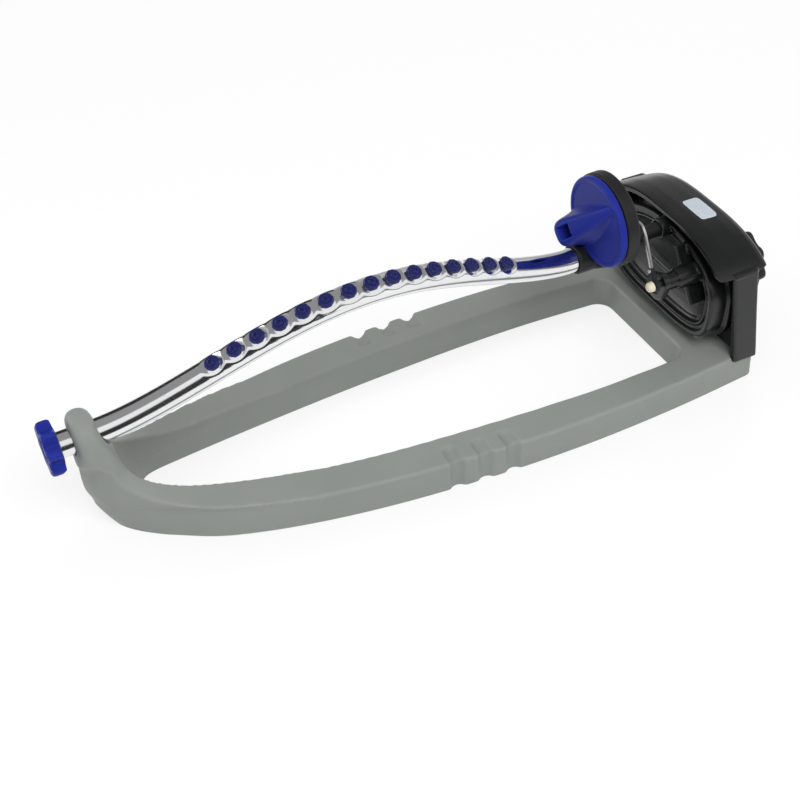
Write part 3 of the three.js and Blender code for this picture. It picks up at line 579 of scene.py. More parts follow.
# The outside stack and the post, less the opening, the bearing's bores, the leg seats and the
# grooves. The hollow underneath and what is below the ground come off last.
def makeBase(b):
    outer = mirroredLoop(b["outerSide"], 150, b["rear"], b["outerCorner"])
    inner = mirroredLoop(b["innerSide"], 130, b["crossbarFront"], b["innerCorner"])
    cutters = [makeOpening(b, inner), rod(*b["bushSeat"], "drive"), rod(*b["bore"], "drive", segments=64)]
    front, rear, inside, width, floor, height = b["legSeat"]
    for side in (-1, 1):
        low, high = sorted((side * inside, side * (inside + width)))
        cutters.append(box((front, low, floor), (rear, high, floor + height)))
        cutters += grooveCutters(b, side)
    solid = carved(leanedStack(outer, b["shell"]), joins=[makePost(b, outer)], cuts=cutters, finish=b)
    belowGround = box((-60, -120, -20), (460, 120, 0))
    return carved(solid, cuts=[makePocket(b, outer, inner), belowGround])


addPiece("baseFrame", makeBase(base), plastics["basePlastic"], "stand", "base_plastic", "base_frame",
         crease=50)
print("base made")

tube = {
    "start": -18.5, "end": 290.6, "radius": 7.2, "bore": 6.0,
    "archStart": 5, "archPeak": 148, "archEnd": 284, "archHeight": 47, "capPower": 1.7, "dialPower": 1.5,
    "rows": 480, "around": 96,
    "nozzles": 15, "firstNozzle": 70.5, "lastNozzle": 236.7,
    "dimpleInner": 4.4, "dimpleOuter": 7.2, "dimpleDepth": 0.85,
    "lipHeight": 0.06, "lipOut": 0.4, "lipWidth": 0.6,
}


# Height is a power of the cosine of the way from the peak to that side's foot.
def archLine(s):
    peak = tube["archPeak"]
    span = np.where(s > peak, tube["archEnd"] - peak, peak - tube["archStart"])
    power = np.where(s > peak, tube["dialPower"], tube["capPower"])
    t = np.minimum(np.abs(s - peak) / span, 1)
    return tube["archHeight"] * np.maximum(np.cos(np.pi / 2 * t), 0) ** power


# The arch's slope, by the difference of two heights.
def archSlope(s):
    step = 0.25
    return (archLine(s + step) - archLine(s - step)) / (2 * step)


# The centre line with its direction and the direction square to it, in the tube's own plane.
def archFrame(s):
    slope = archSlope(s)
    along = np.stack([np.ones_like(s), 0 * s, slope], -1) / np.sqrt(1 + slope ** 2)[..., None]
    outward = np.stack([-along[..., 2], 0 * s, along[..., 0]], -1)
    return np.stack([s, 0 * s, archLine(s)], -1), along, outward


nozzlePlaces = np.linspace(tube["firstNozzle"], tube["lastNozzle"], tube["nozzles"])
sideways = np.array([0, 1.0, 0])


# A circle carried along the arch. Round each nozzle the radius dips smoothly with the distance
# over the surface, and rises a little in a lip outside the dip. The bore is a plain circle.
def makeTube(t):
    s = np.linspace(t["start"], t["end"], t["rows"])
    turn = np.linspace(0, 2 * np.pi, t["around"], endpoint=False)
    centre, _, outward = archFrame(s)
    fromTop = np.arctan2(np.sin(turn), np.cos(turn)) * t["radius"]
    gaps = (s[:, None] - nozzlePlaces[None, :]) * np.sqrt(1 + archSlope(s) ** 2)[:, None]
    distance = np.sqrt(gaps[:, None, :] ** 2 + fromTop[None, :, None] ** 2).min(-1)
    way = np.clip((t["dimpleOuter"] - distance) / (t["dimpleOuter"] - t["dimpleInner"]), 0, 1)
    dip = way * way * (3 - 2 * way)
    lip = np.exp(-((distance - t["dimpleOuter"] - t["lipOut"]) / t["lipWidth"]) ** 2)
    radius = t["radius"] - t["dimpleDepth"] * dip + t["lipHeight"] * lip
    spokes = np.sin(turn)[None, :, None] * sideways + np.cos(turn)[None, :, None] * outward[:, None]
    outside = centre[:, None] + radius[..., None] * spokes
    inside = centre[:, None] + t["bore"] * spokes
    points = np.concatenate([outside, inside[::-1]])
    mesh = meshOf(points, gridFaces(len(points), len(turn), wrapRows=True), "rolled")
    # u runs along the tube, and v falls from 1 to 0 and climbs back on the way round
    u = np.repeat(np.concatenate([np.linspace(0, 1, len(s)), np.linspace(1, 0, len(s))]), len(turn))
    v = np.tile(np.abs(np.linspace(-1, 1, len(turn), endpoint=False)), len(points))
    corner = np.zeros(len(mesh.loops), int)
    mesh.loops.foreach_get("vertex_index", corner)
    mesh.uv_layers.new(name="along").data.foreach_set("uv", np.column_stack([u[corner], v[corner]]).ravel())
    return mesh


addPiece("sprayTube", makeTube(tube), metals["drawnAluminium"], "tube", "tube_aluminium", "spray_tube",
         crease=40)

nozzle = {
    # radius and height above the tube's centre line, then the depth of the ribs
    "profile": [[0, 5.4, 0], [3.7, 5.4, 0], [4.1, 6.2, 0.1], [4.2, 7.1, 0.13], [4.05, 7.9, 0.1],
                [3.5, 8.5, 0.02], [2.7, 8.6, 0], [2.1, 8.4, 0], [1.8, 9.0, 0], [1.5, 9.4, 0], [0.9, 9.4, 0],
                [0.7, 8.6, 0], [0, 8.5, 0]],
    "ribs": 10, "segments": 60, "edge": 0.35,
}


# The profile is turned about the line square to the tube, and its ribs swell with a cosine.
def makeNozzle(n, s):
    centre, along, outward = (part[0] for part in archFrame(np.array([s])))
    profile = softened(n["profile"], n["edge"], 3)
    turn = np.linspace(0, 2 * np.pi, n["segments"], endpoint=False)[None, :]
    radius = profile[:, 0:1] + profile[:, 2:3] * np.cos(n["ribs"] * turn)
    points = (centre + profile[:, 1][:, None, None] * outward + (radius * np.cos(turn))[..., None] * along
              + (radius * np.sin(turn))[..., None] * sideways)
    return meshOf(points, gridFaces(*radius.shape), "rolled")


for number, s in enumerate(nozzlePlaces, 1):
    addPiece(f"nozzle{number:02d}", makeNozzle(nozzle, s), plastics["nozzleNavy"], "tube", "nozzle_blue",
             f"nozzle_{number:02d}", crease=50)
print("tube and nozzles made")

endCap = {
    # radius, x and lobe depth, from the middle of the front face round to the socket's floor
    "profile": [[0, -22.4, 0], [3.4, -22.4, 0], [3.6, -21.5, 0], [6.4, -21.4, 0], [7.6, -22.6, 0.3],
                [11.8, -23, 1.2], [13.3, -22.2, 1.5], [13.6, -20.6, 1.6], [13.6, -17, 1.6],
                [13.0, -15.4, 1.5], [10.6, -15, 0.6], [9.2, -14.6, 0], [8.4, -14.6, 0], [7.5, -15, 0],
                [7.5, -19.5, 0], [0, -19.5, 0]],
    "lobes": 8, "segments": 160, "edge": 0.7,
    "seal": (6.1, 7.2, -19.4, -18.8), "sealEdge": 0.2,         # inner and outer radius, front and rear x
}
capShape = turned(endCap["profile"], endCap["edge"], endCap["segments"], "rolled", lobes=endCap["lobes"])
addPiece("endCap", capShape, plastics["dialBlue"], "cap", "blue_plastic", "end_cap", crease=50)
addPiece("endCapSeal", ring(*endCap["seal"], "rolled", edge=endCap["sealEdge"]), plastics["sealRubber"],
         "cap", "seal_rubber", "end_cap_seal")
bush = {"profile": [[7.5, -4.6], [9.6, -4.6], [9.6, 3.4], [7.5, 3.4]], "edge": 0.5, "segments": 72}
addPiece("frontBush", turned(bush["profile"], bush["edge"], bush["segments"], "drive", closed=True),
         plastics["satinBlack"], "stand", "black_plastic", "front_bearing_bush", crease=40)
tubeSeal = {"inner": 6.1, "outer": 7.1, "start": 290.7, "end": 291.9}
addPiece("tubeSeal", ring(**tubeSeal, where="rolled"), plastics["sealRubber"], "tube", "seal_rubber",
         "tube_seal")

drum = {
    "dialCentre": 33.6, "rimRadius": 27.1, "hubRadius": 9.3, "front": 298, "back": 305.6, "edge": 0.9,
    "cupRadius": 24, "cupFloor": 302, "dialRoom": 26.9, "dialFace": 294.2, "leverPin": (0.3, 13.65),
    # radius and x
    "hub": [[0, 288.4], [8.8, 288.4], [9.3, 289.4], [9.3, 296.4], [9.3, 305.6], [0, 305.6]],
    "leverBoss": [[0, 304.6], [5, 304.6], [3.4, 318], [0, 318]],
    # inner and outer radius, front and rear x
    "backRib": (20, 21.6, 305.1, 306.8),
    # radius, front and rear x
    "spindle": (4, 298.8, 302.5), "neck": (4.4, 304.6, 362), "pin": (1.7, 304.6, 323.3),
    "socket": (7.5, 287.4, 292), "waterway": (3, 300, 364),
    "voxel": 0.5, "smoothing": 3,
}


# The pear-shaped plate is hollowed into a cup round the spindle. The hub that holds the tube is
# cut back where the dial turns, and a raised rib stiffens the back.
def makeDrum(d):
    centre = (0, d["dialCentre"])
    outline = tearDrop(centre, d["rimRadius"], (0, 0), d["hubRadius"], 96)
    body = plate(outline, d["front"], d["back"], d["edge"], "rolled")
    cup = rod(d["cupRadius"], d["front"] - 2, d["cupFloor"], "rolled", centre, segments=96)
    dialRoom = rod(d["dialRoom"], d["dialFace"], d["front"] + 0.1, "rolled", centre, segments=96)
    hub = carved(turned(d["hub"], 0.5, 64, "rolled"), cuts=[dialRoom])
    boss = turned(d["leverBoss"], 0.4, 40, "rolled", d["leverPin"])
    pin = rod(*d["pin"], "rolled", d["leverPin"], 0.4)
    rib = ring(*d["backRib"], "rolled", centre, 0.4, 96)
    joins = [rod(*d["spindle"], "rolled", centre), hub, rod(*d["neck"], "rolled"), boss, pin, rib]
    cuts = [rod(*d["socket"], "rolled"), rod(*d["waterway"], "rolled")]
    return carved(carved(body, cuts=[cup]), joins=joins, cuts=cuts, finish=d)


addPiece("swingDrum", makeDrum(drum), plastics["satinBlack"], "tube", "black_plastic", "swing_drum")

dial = {
    # radius and x
    "rim": [[0, 294.5], [23.2, 294.5], [24, 294], [25.8, 294], [26.4, 295.1], [26.4, 297.7], [23.6, 297.7],
            [23.6, 299.6], [0, 299.6]],
    "bore": (4.3, 298.1, 301.6),                               # radius, front and rear x
    "gripFoot": 294.9, "gripSink": 1.2, "pointer": math.radians(-67),
    # place along the pointer, half width of the crest, half width of the foot, and height
    "grip": [[-25.5, 1.4, 2.8, -0.4], [-22, 2, 4.2, 1.6], [-16, 3, 6, 3.8], [-8, 4.4, 8.2, 6.5],
             [0, 5.8, 10.2, 9.2], [8, 7, 11.6, 11.9], [15, 8, 12, 14.2], [19, 8.3, 11.4, 15.3],
             [22, 8, 10.4, 15.3], [24.3, 7.2, 9.2, 13.6], [25.9, 6, 7.8, 9.8], [26.6, 4.8, 6.4, 5.2],
             [26.9, 3.6, 4.8, 1]],
    "gripAside": 2.0, "flare": 2.6, "crestPower": 7, "crestRounding": 0.4,
    # start and end along the pointer, half width, and floor above the face
    "pocket": (10, 19.5, 3.9, 4),
    "voxel": 0.45, "smoothing": 3,
}


# Sections across the pointer: each flank's half width falls from the foot to the crest with a
# power of the way down, which gives a hollow flank, and a second power rounds the crest off.
def makeDial(d):
    centre = (0, drum["dialCentre"])
    rim = turned(d["rim"], 0.5, 128, "rolled", centre)
    along = np.array([0, math.cos(d["pointer"]), math.sin(d["pointer"])])
    across = np.array([0, -along[2], along[1]])
    out = np.array([-1.0, 0, 0])
    middle = np.array([d["gripFoot"], *centre])
    level = 1 - np.linspace(1, 0.02, 24) ** 1.6       # share of the height, closer together at the crest
    rows = []
    for place, crest, foot, height in splineThrough(d["grip"], 70):
        crestShare = (1 - level ** d["crestPower"]) ** d["crestRounding"]
        wide = crest * crestShare + (foot - crest) * (1 - level) ** d["flare"]
        start = middle + place * along + height * level[:, None] * out
        flank = start + (d["gripAside"] + wide)[:, None] * across
        other = flank - 2 * wide[:, None] * across
        sunk = d["gripSink"] * out
        rows.append(np.vstack([flank[:1] - sunk, flank, other[::-1], other[:1] - sunk]))
    grip = stacked(rows, "rolled")
    near, far, half, floor = d["pocket"]
    corners = np.array([middle + a * along + (d["gripAside"] + w) * across
                        for a, w in ((near, -half), (far, -half), (far, half), (near, half))])
    clear = 20
    pocket = stacked([corners + floor * out, corners + clear * out], "rolled")
    bore = rod(*d["bore"], "rolled", centre)
    return carved(rim, joins=[carved(grip, cuts=[pocket])], cuts=[bore], finish=d)


addPiece("rangeDial", makeDial(dial), plastics["dialBlue"], "dial", "blue_plastic", "range_dial")
print("tube ends made")

linkage = {
    "crankCentre": (-29.9, -14), "crankRadius": 8.8, "crankAngle": math.radians(132.5),
    "linkLength": 36.9, "linkAngle": math.radians(-146.65), "front": 319.5, "thickness": 2.4,
    "halfWidth": 1.15,
    # distance towards the lever pin, and to the side
    "course": [[0, 0], [8, 4.4], [17, 10], [26, 15.2], [31.5, 16], [35.6, 11.6], [36.9, 0]],
    "topEye": (4.9, 3.2), "lowEye": (3.7, 2.5),                # outer and hole radius
    "rodEnd": 16, "endHalfWidth": 1.9, "endHalfThickness": 1.6, "rivetRadius": 1.1,
    "crankFront": 324.7, "crankBack": 328.7, "webRadius": 8.4, "webEndRadius": 4.8, "pinRadius": 2.2,
    "shaftRadius": 3, "shaftEnd": 366.5, "dimpleRadius": 4.6, "screwRadius": 3.1,
    "screwSlot": [[-2.6, -0.45], [2.6, -0.45], [2.6, 0.45], [-2.6, 0.45]],
    # radius and x
    "pinCap": [[2.5, 319], [2.5, 317.3], [0, 316.8], [0, 315.1], [1.8, 315.3], [2.8, 316.2], [3.1, 319]],
}


# An oval of the given half width and half thickness carried along a line in the link's plane.
def strapAlong(line, halfWidth, halfThick, middle):
    way = np.gradient(line, axis=0)
    way /= np.linalg.norm(way, axis=1, keepdims=True)
    turn = np.linspace(0, 2 * np.pi, 24, endpoint=False)
    offset = halfWidth * np.cos(turn)
    points = np.empty((len(line), len(turn), 3))
    points[..., 0] = middle + halfThick * np.sin(turn)
    points[..., 1] = line[:, 0:1] - way[:, 1:2] * offset
    points[..., 2] = line[:, 1:2] + way[:, 0:1] * offset
    return stacked(points, "drive")


# The link's line bows away from the chord between its two eyes. Steel runs from the top eye
# down, and a thicker black end grips it and carries the lower eye.
def makeLink(k):
    crankPin = np.array(k["crankCentre"]) + k["crankRadius"] * np.array(
        [math.cos(k["crankAngle"]), math.sin(k["crankAngle"])])
    top = crankPin - k["linkLength"] * np.array([math.cos(k["linkAngle"]), math.sin(k["linkAngle"])])
    chord = (top - crankPin) / np.linalg.norm(top - crankPin)
    aside = np.array([-chord[1], chord[0]])
    line = splineThrough([crankPin + a * chord + b * aside for a, b in k["course"]], 80)
    front, end, middle = k["front"], k["front"] + k["thickness"], k["front"] + k["thickness"] / 2
    lower = k["rodEnd"]

    # an eye's solid, and the hole that goes right through it
    def eye(sizes, centre):
        solid = rod(sizes[0], front, end, "drive", centre, 0.5)
        return solid, rod(sizes[1], front - 1, end + 1, "drive", centre)

    topEye, topHole = eye(k["topEye"], top)
    lowEye, lowHole = eye(k["lowEye"], crankPin)
    steel = strapAlong(line[lower - 6:-3], k["halfWidth"], k["thickness"] / 2, middle)
    black = strapAlong(line[2:lower], k["endHalfWidth"], k["endHalfThickness"], middle)
    rivet = rod(k["rivetRadius"], front - 1, end - 1, "drive", line[lower - 3], 0.3)
    steelLink = carved(steel, joins=[topEye], cuts=[topHole])
    blackEnd = carved(black, joins=[lowEye], cuts=[lowHole])
    return steelLink, blackEnd, rivet, crankPin


linkRod, linkEnd, linkRivet, crankPin = makeLink(linkage)
addPiece("driveLink", linkRod, metals["zincSteel"], "link", "steel", "drive_link", crease=40)
addPiece("linkRodEnd", linkEnd, plastics["satinBlack"], "link", "black_plastic", crease=40)
addPiece("linkRivet", linkRivet, metals["zincSteel"], "link", "steel", crease=40)


# A tear-drop plate round the shaft and the pin, dimpled for the head of the screw.
def makeCrank(k):
    centre, front, back = k["crankCentre"], k["crankFront"], k["crankBack"]
    web = plate(tearDrop(centre, k["webRadius"], crankPin, k["webEndRadius"]), front, back, 0.7, "drive")
    pin = rod(k["pinRadius"], k["front"] - 1.8, front + 1, "drive", crankPin)
    shaft = rod(k["shaftRadius"], back - 1, k["shaftEnd"], "drive", centre)
    dimple = rod(k["dimpleRadius"], front - 1, front + 0.8, "drive", centre)
    head = rod(k["screwRadius"], front - 0.7, front + 1.2, "drive", centre, 0.5)
    slot = plate(np.array(k["screwSlot"]) + centre, front - 1.5, front - 0.1, 0.1, "drive")
    return carved(carved(web, cuts=[dimple]), joins=[carved(shaft, joins=[pin])]), carved(head, cuts=[slot])


crankArm, crankScrew = makeCrank(linkage)
addPiece("crankArm", crankArm, plastics["glossBlack"], "crank", "black_plastic", "crank_arm", crease=40)
addPiece("crankScrew", crankScrew, metals["zincSteel"], "crank", "steel", crease=40)
addPiece("crankPinCap", turned(linkage["pinCap"], 0.4, 40, "drive", crankPin, closed=True),
         plastics["creamPlastic"], "crank", "cream_plastic", "crank_pin_cap", crease=50)
print("linkage made")

motor = {
    "top": 85, "waist": 52, "bottom": 22.5, "halfWidth": 51, "upperPower": 2.1, "lowerPower": 3.6,
    # how far in from the outline, and x
    "bodyRows": [[1.6, 355], [0.7, 355.3], [0.2, 356.2], [0, 357.4], [0, 366.6], [-0.9, 366.9], [-1.6, 367.6],
                 [-1.6, 372.7]],
    "bowl": [[3.2, 354], [3.8, 357.6], [6, 357.9], [6.6, 356.4], [7.6, 356.4], [8.2, 359], [9.4, 359.3],
             [10, 360.4], [13, 361.9], [17, 363.6], [20.2, 364.6], [20.8, 365.6], [25, 366.4]],
    "rearRows": [[-1.6, 373.3], [-1.6, 376.4], [-0.4, 377], [1.4, 377.6], [3, 385], [5, 388.4], [7.6, 390.6],
                 [12, 392]],
    # radius, front and rear x on the drive line
    "neckBoss": (6.1, 346, 368), "neckBore": (4.7, 340, 362.6), "crankBore": (3.3, 329, 367.2),
    # radius and x
    "crankBoss": [[0, 330.4], [5, 330.4], [5, 338], [6.2, 339], [8.4, 366], [0, 366]],
    # webs that stiffen the crank boss inside the bowl: outline, front and rear x, and their turns
    "web": [[-1, 0], [1, 0], [1, 18], [-1, 18]], "webFront": 344, "webBack": 367,
    "webTurns": (-0.6, -2.2, 2.6),
    # the rear webs' y, and their front and rear x, foot, top and half thickness
    "rearWebs": (-34, -22, 22, 34), "rearWeb": (386, 393.6, 28, 72, 0.9),
    "voxel": 0.62, "smoothing": 2,
}
inlet = {
    "height": 36, "bore": (7, 382, 416),                       # radius, front and rear x
    "collar": (13, 15.6, 389, 394),                            # inner and outer radius, front and rear x
    "profile": [[0, 388], [14, 388], [12.6, 399], [9.6, 399], [9.6, 408.1], [12.4, 408.5], [12.4, 411.1],
                [11.8, 411.5], [0, 411.5]],
}


# A shield: a round squared ellipse above the waist and a boxier one below it.
def motorOutline(drawn):
    turn = np.linspace(0, 2 * np.pi, 144, endpoint=False)
    c, s = np.cos(turn), np.sin(turn)
    power = np.where(s > 0, motor["upperPower"], motor["lowerPower"])
    reach = np.where(s > 0, motor["top"] - motor["waist"], motor["waist"] - motor["bottom"]) - drawn
    return np.column_stack([(motor["halfWidth"] - drawn) * np.sign(c) * np.abs(c) ** (2 / power),
                            motor["waist"] + reach * np.sign(s) * np.abs(s) ** (2 / power)])


# Outlines drawn in by each row's amount and stacked along x.
def shieldStack(rows):
    return stacked([facingX(motorOutline(drawn), x) for drawn, x in rows])


# The outside stack less the bowl, with the bearing's and the crank's bosses put back.
def makeMotorFront(m):
    crankCentre = linkage["crankCentre"]
    joins = [rod(*m["neckBoss"], "drive", edge=0.6), turned(m["crankBoss"], 0.5, 56, "drive", crankCentre)]
    for turn in m["webTurns"]:
        spin = np.array([[math.cos(turn), math.sin(turn)], [-math.sin(turn), math.cos(turn)]])
        outline = np.array(m["web"]) @ spin + crankCentre
        joins.append(plate(outline, m["webFront"], m["webBack"], 0.3, "drive"))
    bores = [rod(*m["neckBore"], "drive"), rod(*m["crankBore"], "drive", crankCentre)]
    return carved(carved(shieldStack(m["bodyRows"]), cuts=[shieldStack(m["bowl"])]), joins=joins, cuts=bores,
                  finish=m)


# The shield's closed back, with the hose spout, its collar and four upright webs.
def makeMotorRear(m, i):
    centre = (0, i["height"])
    spout = turned(i["profile"], 0.5, 72, centre=centre)
    joins = [ring(*i["collar"], centre=centre, edge=0.8, segments=72), spout]
    front, rear, low, high, half = m["rearWeb"]
    joins += [box((front, y - half, low), (rear, y + half, high)) for y in m["rearWebs"]]
    return carved(shieldStack(m["rearRows"]), joins=joins, cuts=[rod(*i["bore"], centre=centre)], finish=m)


addPiece("motorFrontCase", makeMotorFront(motor), plastics["glossBlack"], "stand", "black_plastic",
         "motor_front_case")
addPiece("motorRearCase", makeMotorRear(motor, inlet), plastics["satinBlack"], "stand", "black_plastic",
         "motor_rear_case")
print("motor made")

hood = {
    "top": 91.6, "sill": 77, "halfWidth": 57.6, "power": 3.2,
    # x, and how far the section is drawn in there
    "stations": [[353.5, 2.2], [353.8, 1.1], [354.8, 0.2], [358, -0.2], [365, -0.6], [377, 0], [384, 0.9],
                 [386.8, 2], [388, 3.2], [388.4, 4.6]],
    "hollow": [[352, 2.8], [383.4, 2.8], [389.4, 5.8]],
    # height, and how far the leg has gone from its foot's sizes to its top's
    "legRows": [[15.6, 0], [20, 0.05], [50, 0.55], [79, 1]],
    # front and rear x, inside y and thickness, and the bevel of the outer corners
    "legFoot": (371.2, 387.8, 56.4, 4.4), "legTop": (362.8, 379.8, 54.6, 2.9), "legBevel": 1,
    "voxel": 0.62, "smoothing": 3,
}


# Nearly flat on top, falling ever faster to the sides with a power of the way out.
def canopySection(top, halfWidth, sill):
    u = np.cos(np.linspace(0, np.pi, 120))
    return np.column_stack([halfWidth * u, sill + (top - sill) * (1 - np.abs(u) ** hood["power"])])


# The canopy is a stack of such sections with a smaller stack taken out. Each leg is a bevelled
# box whose sizes run smoothly from its foot's to its top's.
def makeHood(h):
    outside = stacked([facingX(canopySection(h["top"] - d, h["halfWidth"] - d, h["sill"]), x)
                       for x, d in h["stations"]])
    hollow = stacked([facingX(canopySection(h["top"] - d, h["halfWidth"] - d, h["sill"] - 3), x)
                      for x, d in h["hollow"]])
    legs = []
    for side in (-1, 1):
        rows = []
        for z, share in splineThrough(h["legRows"], 24):
            front, rear, inside, thick = np.array(h["legFoot"]) * (1 - share) + np.array(h["legTop"]) * share
            outer, bevel = inside + thick, h["legBevel"]
            corners = np.array([[front, inside], [rear, inside], [rear, outer - bevel], [rear - bevel, outer],
                                [front + bevel, outer], [front, outer - bevel]])
            rows.append(upright(corners * [1, side], z))
        legs.append(stacked(rows))
    return carved(carved(outside, cuts=[hollow]), joins=legs, finish=h)


addPiece("hoodShell", makeHood(hood), plastics["glossBlack"], "stand", "black_plastic", "hood")

# Black plates from the motor's back to each hood leg, which also stand in as painted shade for the dark under
# the motor.
shadeGusset = {
    "outline": [[56, 18.7], [56.2, 68], [50, 61], [47, 44], [41, 26], [37, 18.7]],
    "front": 376, "back": 379.4,
}
for side, sideName in ((-1, "Near"), (1, "Far")):
    outline = (np.array(shadeGusset["outline"]) * [side, 1])[::-side]           # anticlockwise on both sides
    addPiece("hoodShadeGusset" + sideName, plate(outline, shadeGusset["front"], shadeGusset["back"], 0.4),
             plastics["satinBlack"], "stand", "black_plastic", crease=40)

foot = {
    # two far corners of the tab, the voxel and smoothing of its finish, and the stud's radius and height
    "tab": ((361.5, -27, 17.6), (365.5, -21, 24)), "voxel": 0.4, "smoothing": 2,
    "stud": [[0, 17], [3.4, 17], [3.2, 20], [2.4, 22], [0, 22.6]], "studEdge": 0.8, "studPlace": (366, -32),
}
addPiece("motorFootTab", carved(box(*foot["tab"]), finish=foot), plastics["satinBlack"], "stand",
         "black_plastic")
stud = stacked([upright(circle(radius, 40, foot["studPlace"]), z)
                for radius, z in softened(foot["stud"], foot["studEdge"])])
addPiece("barStud", stud, plastics["basePlastic"], "stand", "base_plastic")

label = {
    "front": 367.5, "back": 379, "left": -17, "right": 3.5, "power": 7, "gap": 0.45,
    # share of the outline, and height over the canopy: the rim is rounded and reaches into it
    "rows": [[0.05, 0.3], [0.5, 0.3], [0.9, 0.3], [0.985, 0.26], [1, 0.1], [1, -0.4]],
}


# A thin bare plate: rings of a squared outline, at a height that follows the canopy's curve.
def makeLabel(b):
    half = np.array([(b["back"] - b["front"]) / 2, (b["right"] - b["left"]) / 2])
    middle = np.array([(b["back"] + b["front"]) / 2, (b["right"] + b["left"]) / 2])
    outline = superellipse(*half, b["power"], 96, middle)
    rows = []
    for share, lift in b["rows"]:
        loop = middle + (outline - middle) * share
        u = np.abs(loop[:, 1]) / hood["halfWidth"]
        z = hood["sill"] + (hood["top"] + b["gap"] - hood["sill"]) * (1 - u ** hood["power"]) + lift
        rows.append(np.column_stack([loop, z]))
    return stacked(rows)


addPiece("labelPlate", makeLabel(label), plastics["blankLabel"], "stand", "ivory_plastic", crease=50)
print("hood made")

nut = {
    "centre": (0, inlet["height"]), "lobes": 8, "segments": 160, "edge": 0.45,
    # radius, x and lobe depth: the outside from the front, and the rest of the bore past the thread
    "outside": [[10.2, 403.5, 0], [16.4, 403.5, 0.6], [18.2, 404.6, 1.5], [18.6, 406.4, 1.6],
                [18.6, 421, 1.6], [18.2, 423, 1.5], [16.6, 424, 0.6], [14.6, 424, 0]],
    "inside": [[13.6, 408.6, 0], [13.6, 407.7, 0], [10.2, 407.7, 0]],
    "threadStart": 409.6, "threadEnd": 423.2, "pitch": 2.3, "crest": 13.3, "root": 14.3,
}


# The thread is a zigzag of crests and roots, half a pitch apart, in the turned profile.
def makeNut(n):
    turns = np.arange(n["threadEnd"], n["threadStart"], -n["pitch"] / 2)
    thread = [[n["crest"] if i % 2 else n["root"], x, 0] for i, x in enumerate(turns)]
    profile = n["outside"] + thread + n["inside"]
    return turned(profile, n["edge"], n["segments"], centre=n["centre"], lobes=n["lobes"], closed=True)


addPiece("hoseNut", makeNut(nut), plastics["satinBlack"], "hose_nut", "black_plastic", "hose_nut", crease=45)
hoseSeat = {
    "washer": (7.2, 12.6, 412.8, 415), "washerEdge": 0.5,      # inner and outer radius, front and rear x
    # radius and x
    "filter": [[0, 400.5], [4.2, 401.5], [6.5, 404.5], [6.5, 411.8], [9.4, 411.8], [9.4, 412.5],
               [5.9, 412.5], [5.9, 404.7], [3.8, 402.1], [0, 401.2]],
}
addPiece("inletWasher", ring(*hoseSeat["washer"], centre=nut["centre"], edge=hoseSeat["washerEdge"]),
         plastics["sealRubber"], "stand", "seal_rubber", "inlet_washer")
addPiece("inletFilter", turned(hoseSeat["filter"], 0.25, 56, centre=nut["centre"]),
         plastics["ivoryPlastic"], "stand", "ivory_plastic", "inlet_filter", crease=45)
print("hose coupling made")

studio = {
    "floorHalf": 4, "floorHeight": -0.0003, "floorPaint": 0.86, "floorGlow": 0.75,
    "world": 0.6, "ceiling": 0.3,
    # place, width and power of each lamp, all of them aimed at one point
    "lamps": {"keyLight": ((-0.1, -0.9, 1.27), 0.8, 15.0), "rimLight": ((0.9, 0.9, 0.9), 0.5, 3.0),
              "windowLight": ((-1.2, 0.75, 0.85), 0.7, 4.5)},
    "aim": (0, 0, 0.03),
    # cards that only gloss sees: y and z of the low and the high edge, both ends' x, and brightness
    "cards": [((2, 0), (2, 2), (-1.2, 0.25), 0), ((2, 0), (2, 1.2), (0.25, 3.2), 0.42),
              ((-1.1, 0), (-1.1, 0.5), (-3, 0), 0), ((-0.2, 0.004), (-1.1, 0.004), (-1.2, -0.02), 0),
              ((-1.1, 0), (-1.1, 0.3), (0, 3), 0.12), ((-1.6, 0.85), (-1, 2.3), (-3, 3), 0.9),
              ((1.9, 0.05), (1.9, 1.1), (-3.2, -1.1), 3)],
    "camera": (-0.28855, -0.5289, 0.5366), "heading": math.radians(63.14), "pitch": math.radians(39.54),
    "lens": 62.1, "sensor": 36, "shiftY": -0.055, "nearest": 0.01,
}


# 1 for rays from the camera, off gloss or through a clear part, and 0 for the rest.
def seenStraight(tree, path):
    seen = maths(tree, "ADD", path["Is Camera Ray"], path["Is Glossy Ray"], clamp=True)
    return maths(tree, "ADD", seen, path["Is Transmission Ray"], clamp=True)


# Four corners as one face of the studio, which is no part of the object.
def flatSheet(name, corners):
    mesh = bpy.data.meshes.new(name)
    mesh.from_pydata(corners, [], [(0, 1, 2, 3)])
    sheet = inScene(name, mesh)
    return sheet


# Pale paint that takes shadows, mostly covered by plain white wherever it is seen straight.
def makeFloor(s):
    far, z, tone = s["floorHalf"], s["floorHeight"], s["floorPaint"]
    floor = flatSheet("floor", [(-far, -far, z), (far, -far, z), (far, far, z), (-far, far, z)])
    material, tree, shader = newMaterial("paleFloor")
    paint = addNode(tree, "ShaderNodeBsdfDiffuse", {"Color": (tone, tone, tone, 1)})
    glow = addNode(tree, "ShaderNodeEmission", {"Color": (1, 1, 1, 1), "Strength": 1.0})
    path = addNode(tree, "ShaderNodeLightPath").outputs
    share = maths(tree, "MULTIPLY", seenStraight(tree, path), s["floorGlow"])
    blend = addNode(tree, "ShaderNodeMixShader", {0: share, 1: paint.outputs[0], 2: glow.outputs[0]})
    tree.links.new(blend.outputs[0], tree.nodes["Material Output"].inputs[0])
    tree.nodes.remove(shader)
    floor.data.materials.append(material)


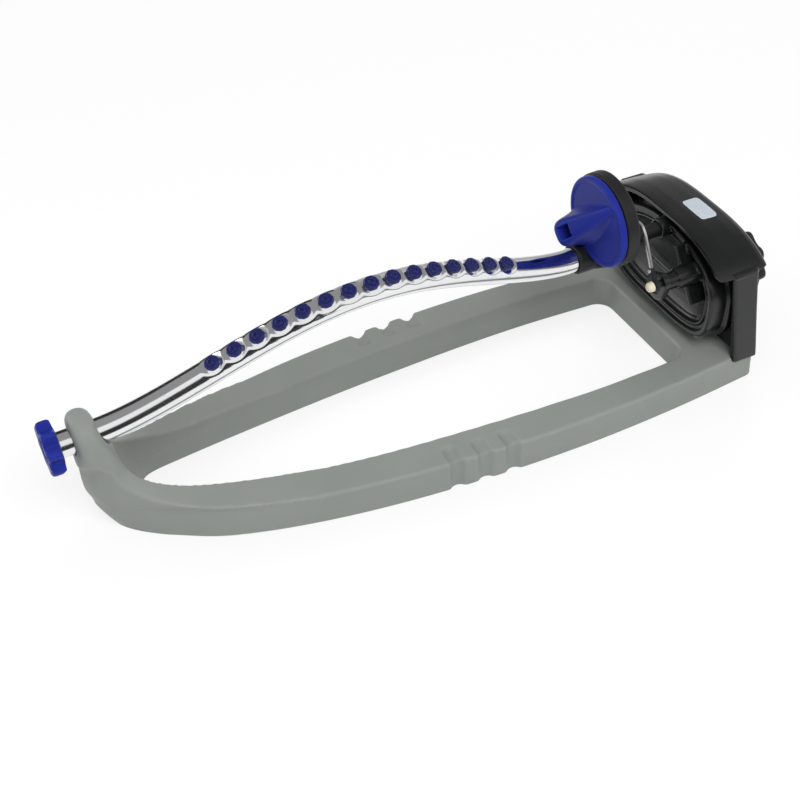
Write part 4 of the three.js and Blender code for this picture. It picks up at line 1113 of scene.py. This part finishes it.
# White where it is seen straight and dimmer as a light. Gloss sees it fade towards the ceiling.
def makeWorld(s):
    world = bpy.data.worlds.new("studio")
    world.use_nodes = True
    tree = world.node_tree
    path = addNode(tree, "ShaderNodeLightPath").outputs
    strength = maths(tree, "MULTIPLY_ADD", seenStraight(tree, path), 1 - s["world"], s["world"])
    way = addNode(tree, "ShaderNodeTexCoord").outputs["Generated"]
    height = addNode(tree, "ShaderNodeSeparateXYZ", {0: way}).outputs[2]
    change = maths(tree, "MULTIPLY", mapped(tree, height, 0.05, 0.6), s["ceiling"] - 1)
    dimmed = maths(tree, "MULTIPLY_ADD", path["Is Glossy Ray"], change, 1.0)
    strength = maths(tree, "MULTIPLY", strength, dimmed)
    tree.nodes["Background"].inputs[0].default_value = (1, 1, 1, 1)
    tree.links.new(strength, tree.nodes["Background"].inputs[1])
    bpy.context.scene.world = world


# A round lamp turned to the aim, which gloss doesn't see: it sees the cards instead.
def makeLamp(name, place, size, power):
    lamp = bpy.data.lights.new(name, "AREA")
    lamp.shape, lamp.size, lamp.energy = "DISK", size, power
    holder = inScene(name, lamp)
    holder.location = place
    holder.visible_glossy = False
    holder.rotation_euler = (Vector(studio["aim"]) - Vector(place)).to_track_quat("-Z", "Y").to_euler()


# A long card between two edges that run along x, which shows in gloss and nowhere else.
def makeCard(number, lowEdge, highEdge, ends, brightness):
    left, right = ends
    corners = [(left, *lowEdge), (right, *lowEdge), (right, *highEdge), (left, *highEdge)]
    card = flatSheet(f"card{number}", corners)
    for seenBy in ("camera", "diffuse", "shadow", "transmission", "volume_scatter"):
        setattr(card, "visible_" + seenBy, False)
    material, _, shader = newMaterial(f"cardPaint{number}")
    shader.inputs["Base Color"].default_value = (0.01, 0.01, 0.01, 1)
    shader.inputs["Emission Color"].default_value = (1, 1, 1, 1)
    shader.inputs["Emission Strength"].default_value = brightness
    card.data.materials.append(material)


# The heading is measured from x towards y, and the pitch downwards from level.
def makeCamera(s):
    lens = bpy.data.cameras.new("camera")
    lens.lens, lens.sensor_width, lens.shift_y = s["lens"], s["sensor"], s["shiftY"]
    lens.clip_start = s["nearest"]
    camera = inScene("camera", lens)
    camera.location = s["camera"]
    level = math.cos(s["pitch"])
    look = Vector((level * math.cos(s["heading"]), level * math.sin(s["heading"]), -math.sin(s["pitch"])))
    camera.rotation_euler = look.to_track_quat("-Z", "Y").to_euler()
    bpy.context.scene.camera = camera


makeFloor(studio)
makeWorld(studio)
for name, (place, size, power) in studio["lamps"].items():
    makeLamp(name, place, size, power)
for number, card in enumerate(studio["cards"], 1):
    makeCard(number, *card)
makeCamera(studio)
bpy.context.scene.view_settings.view_transform = "Standard"
print("studio made")
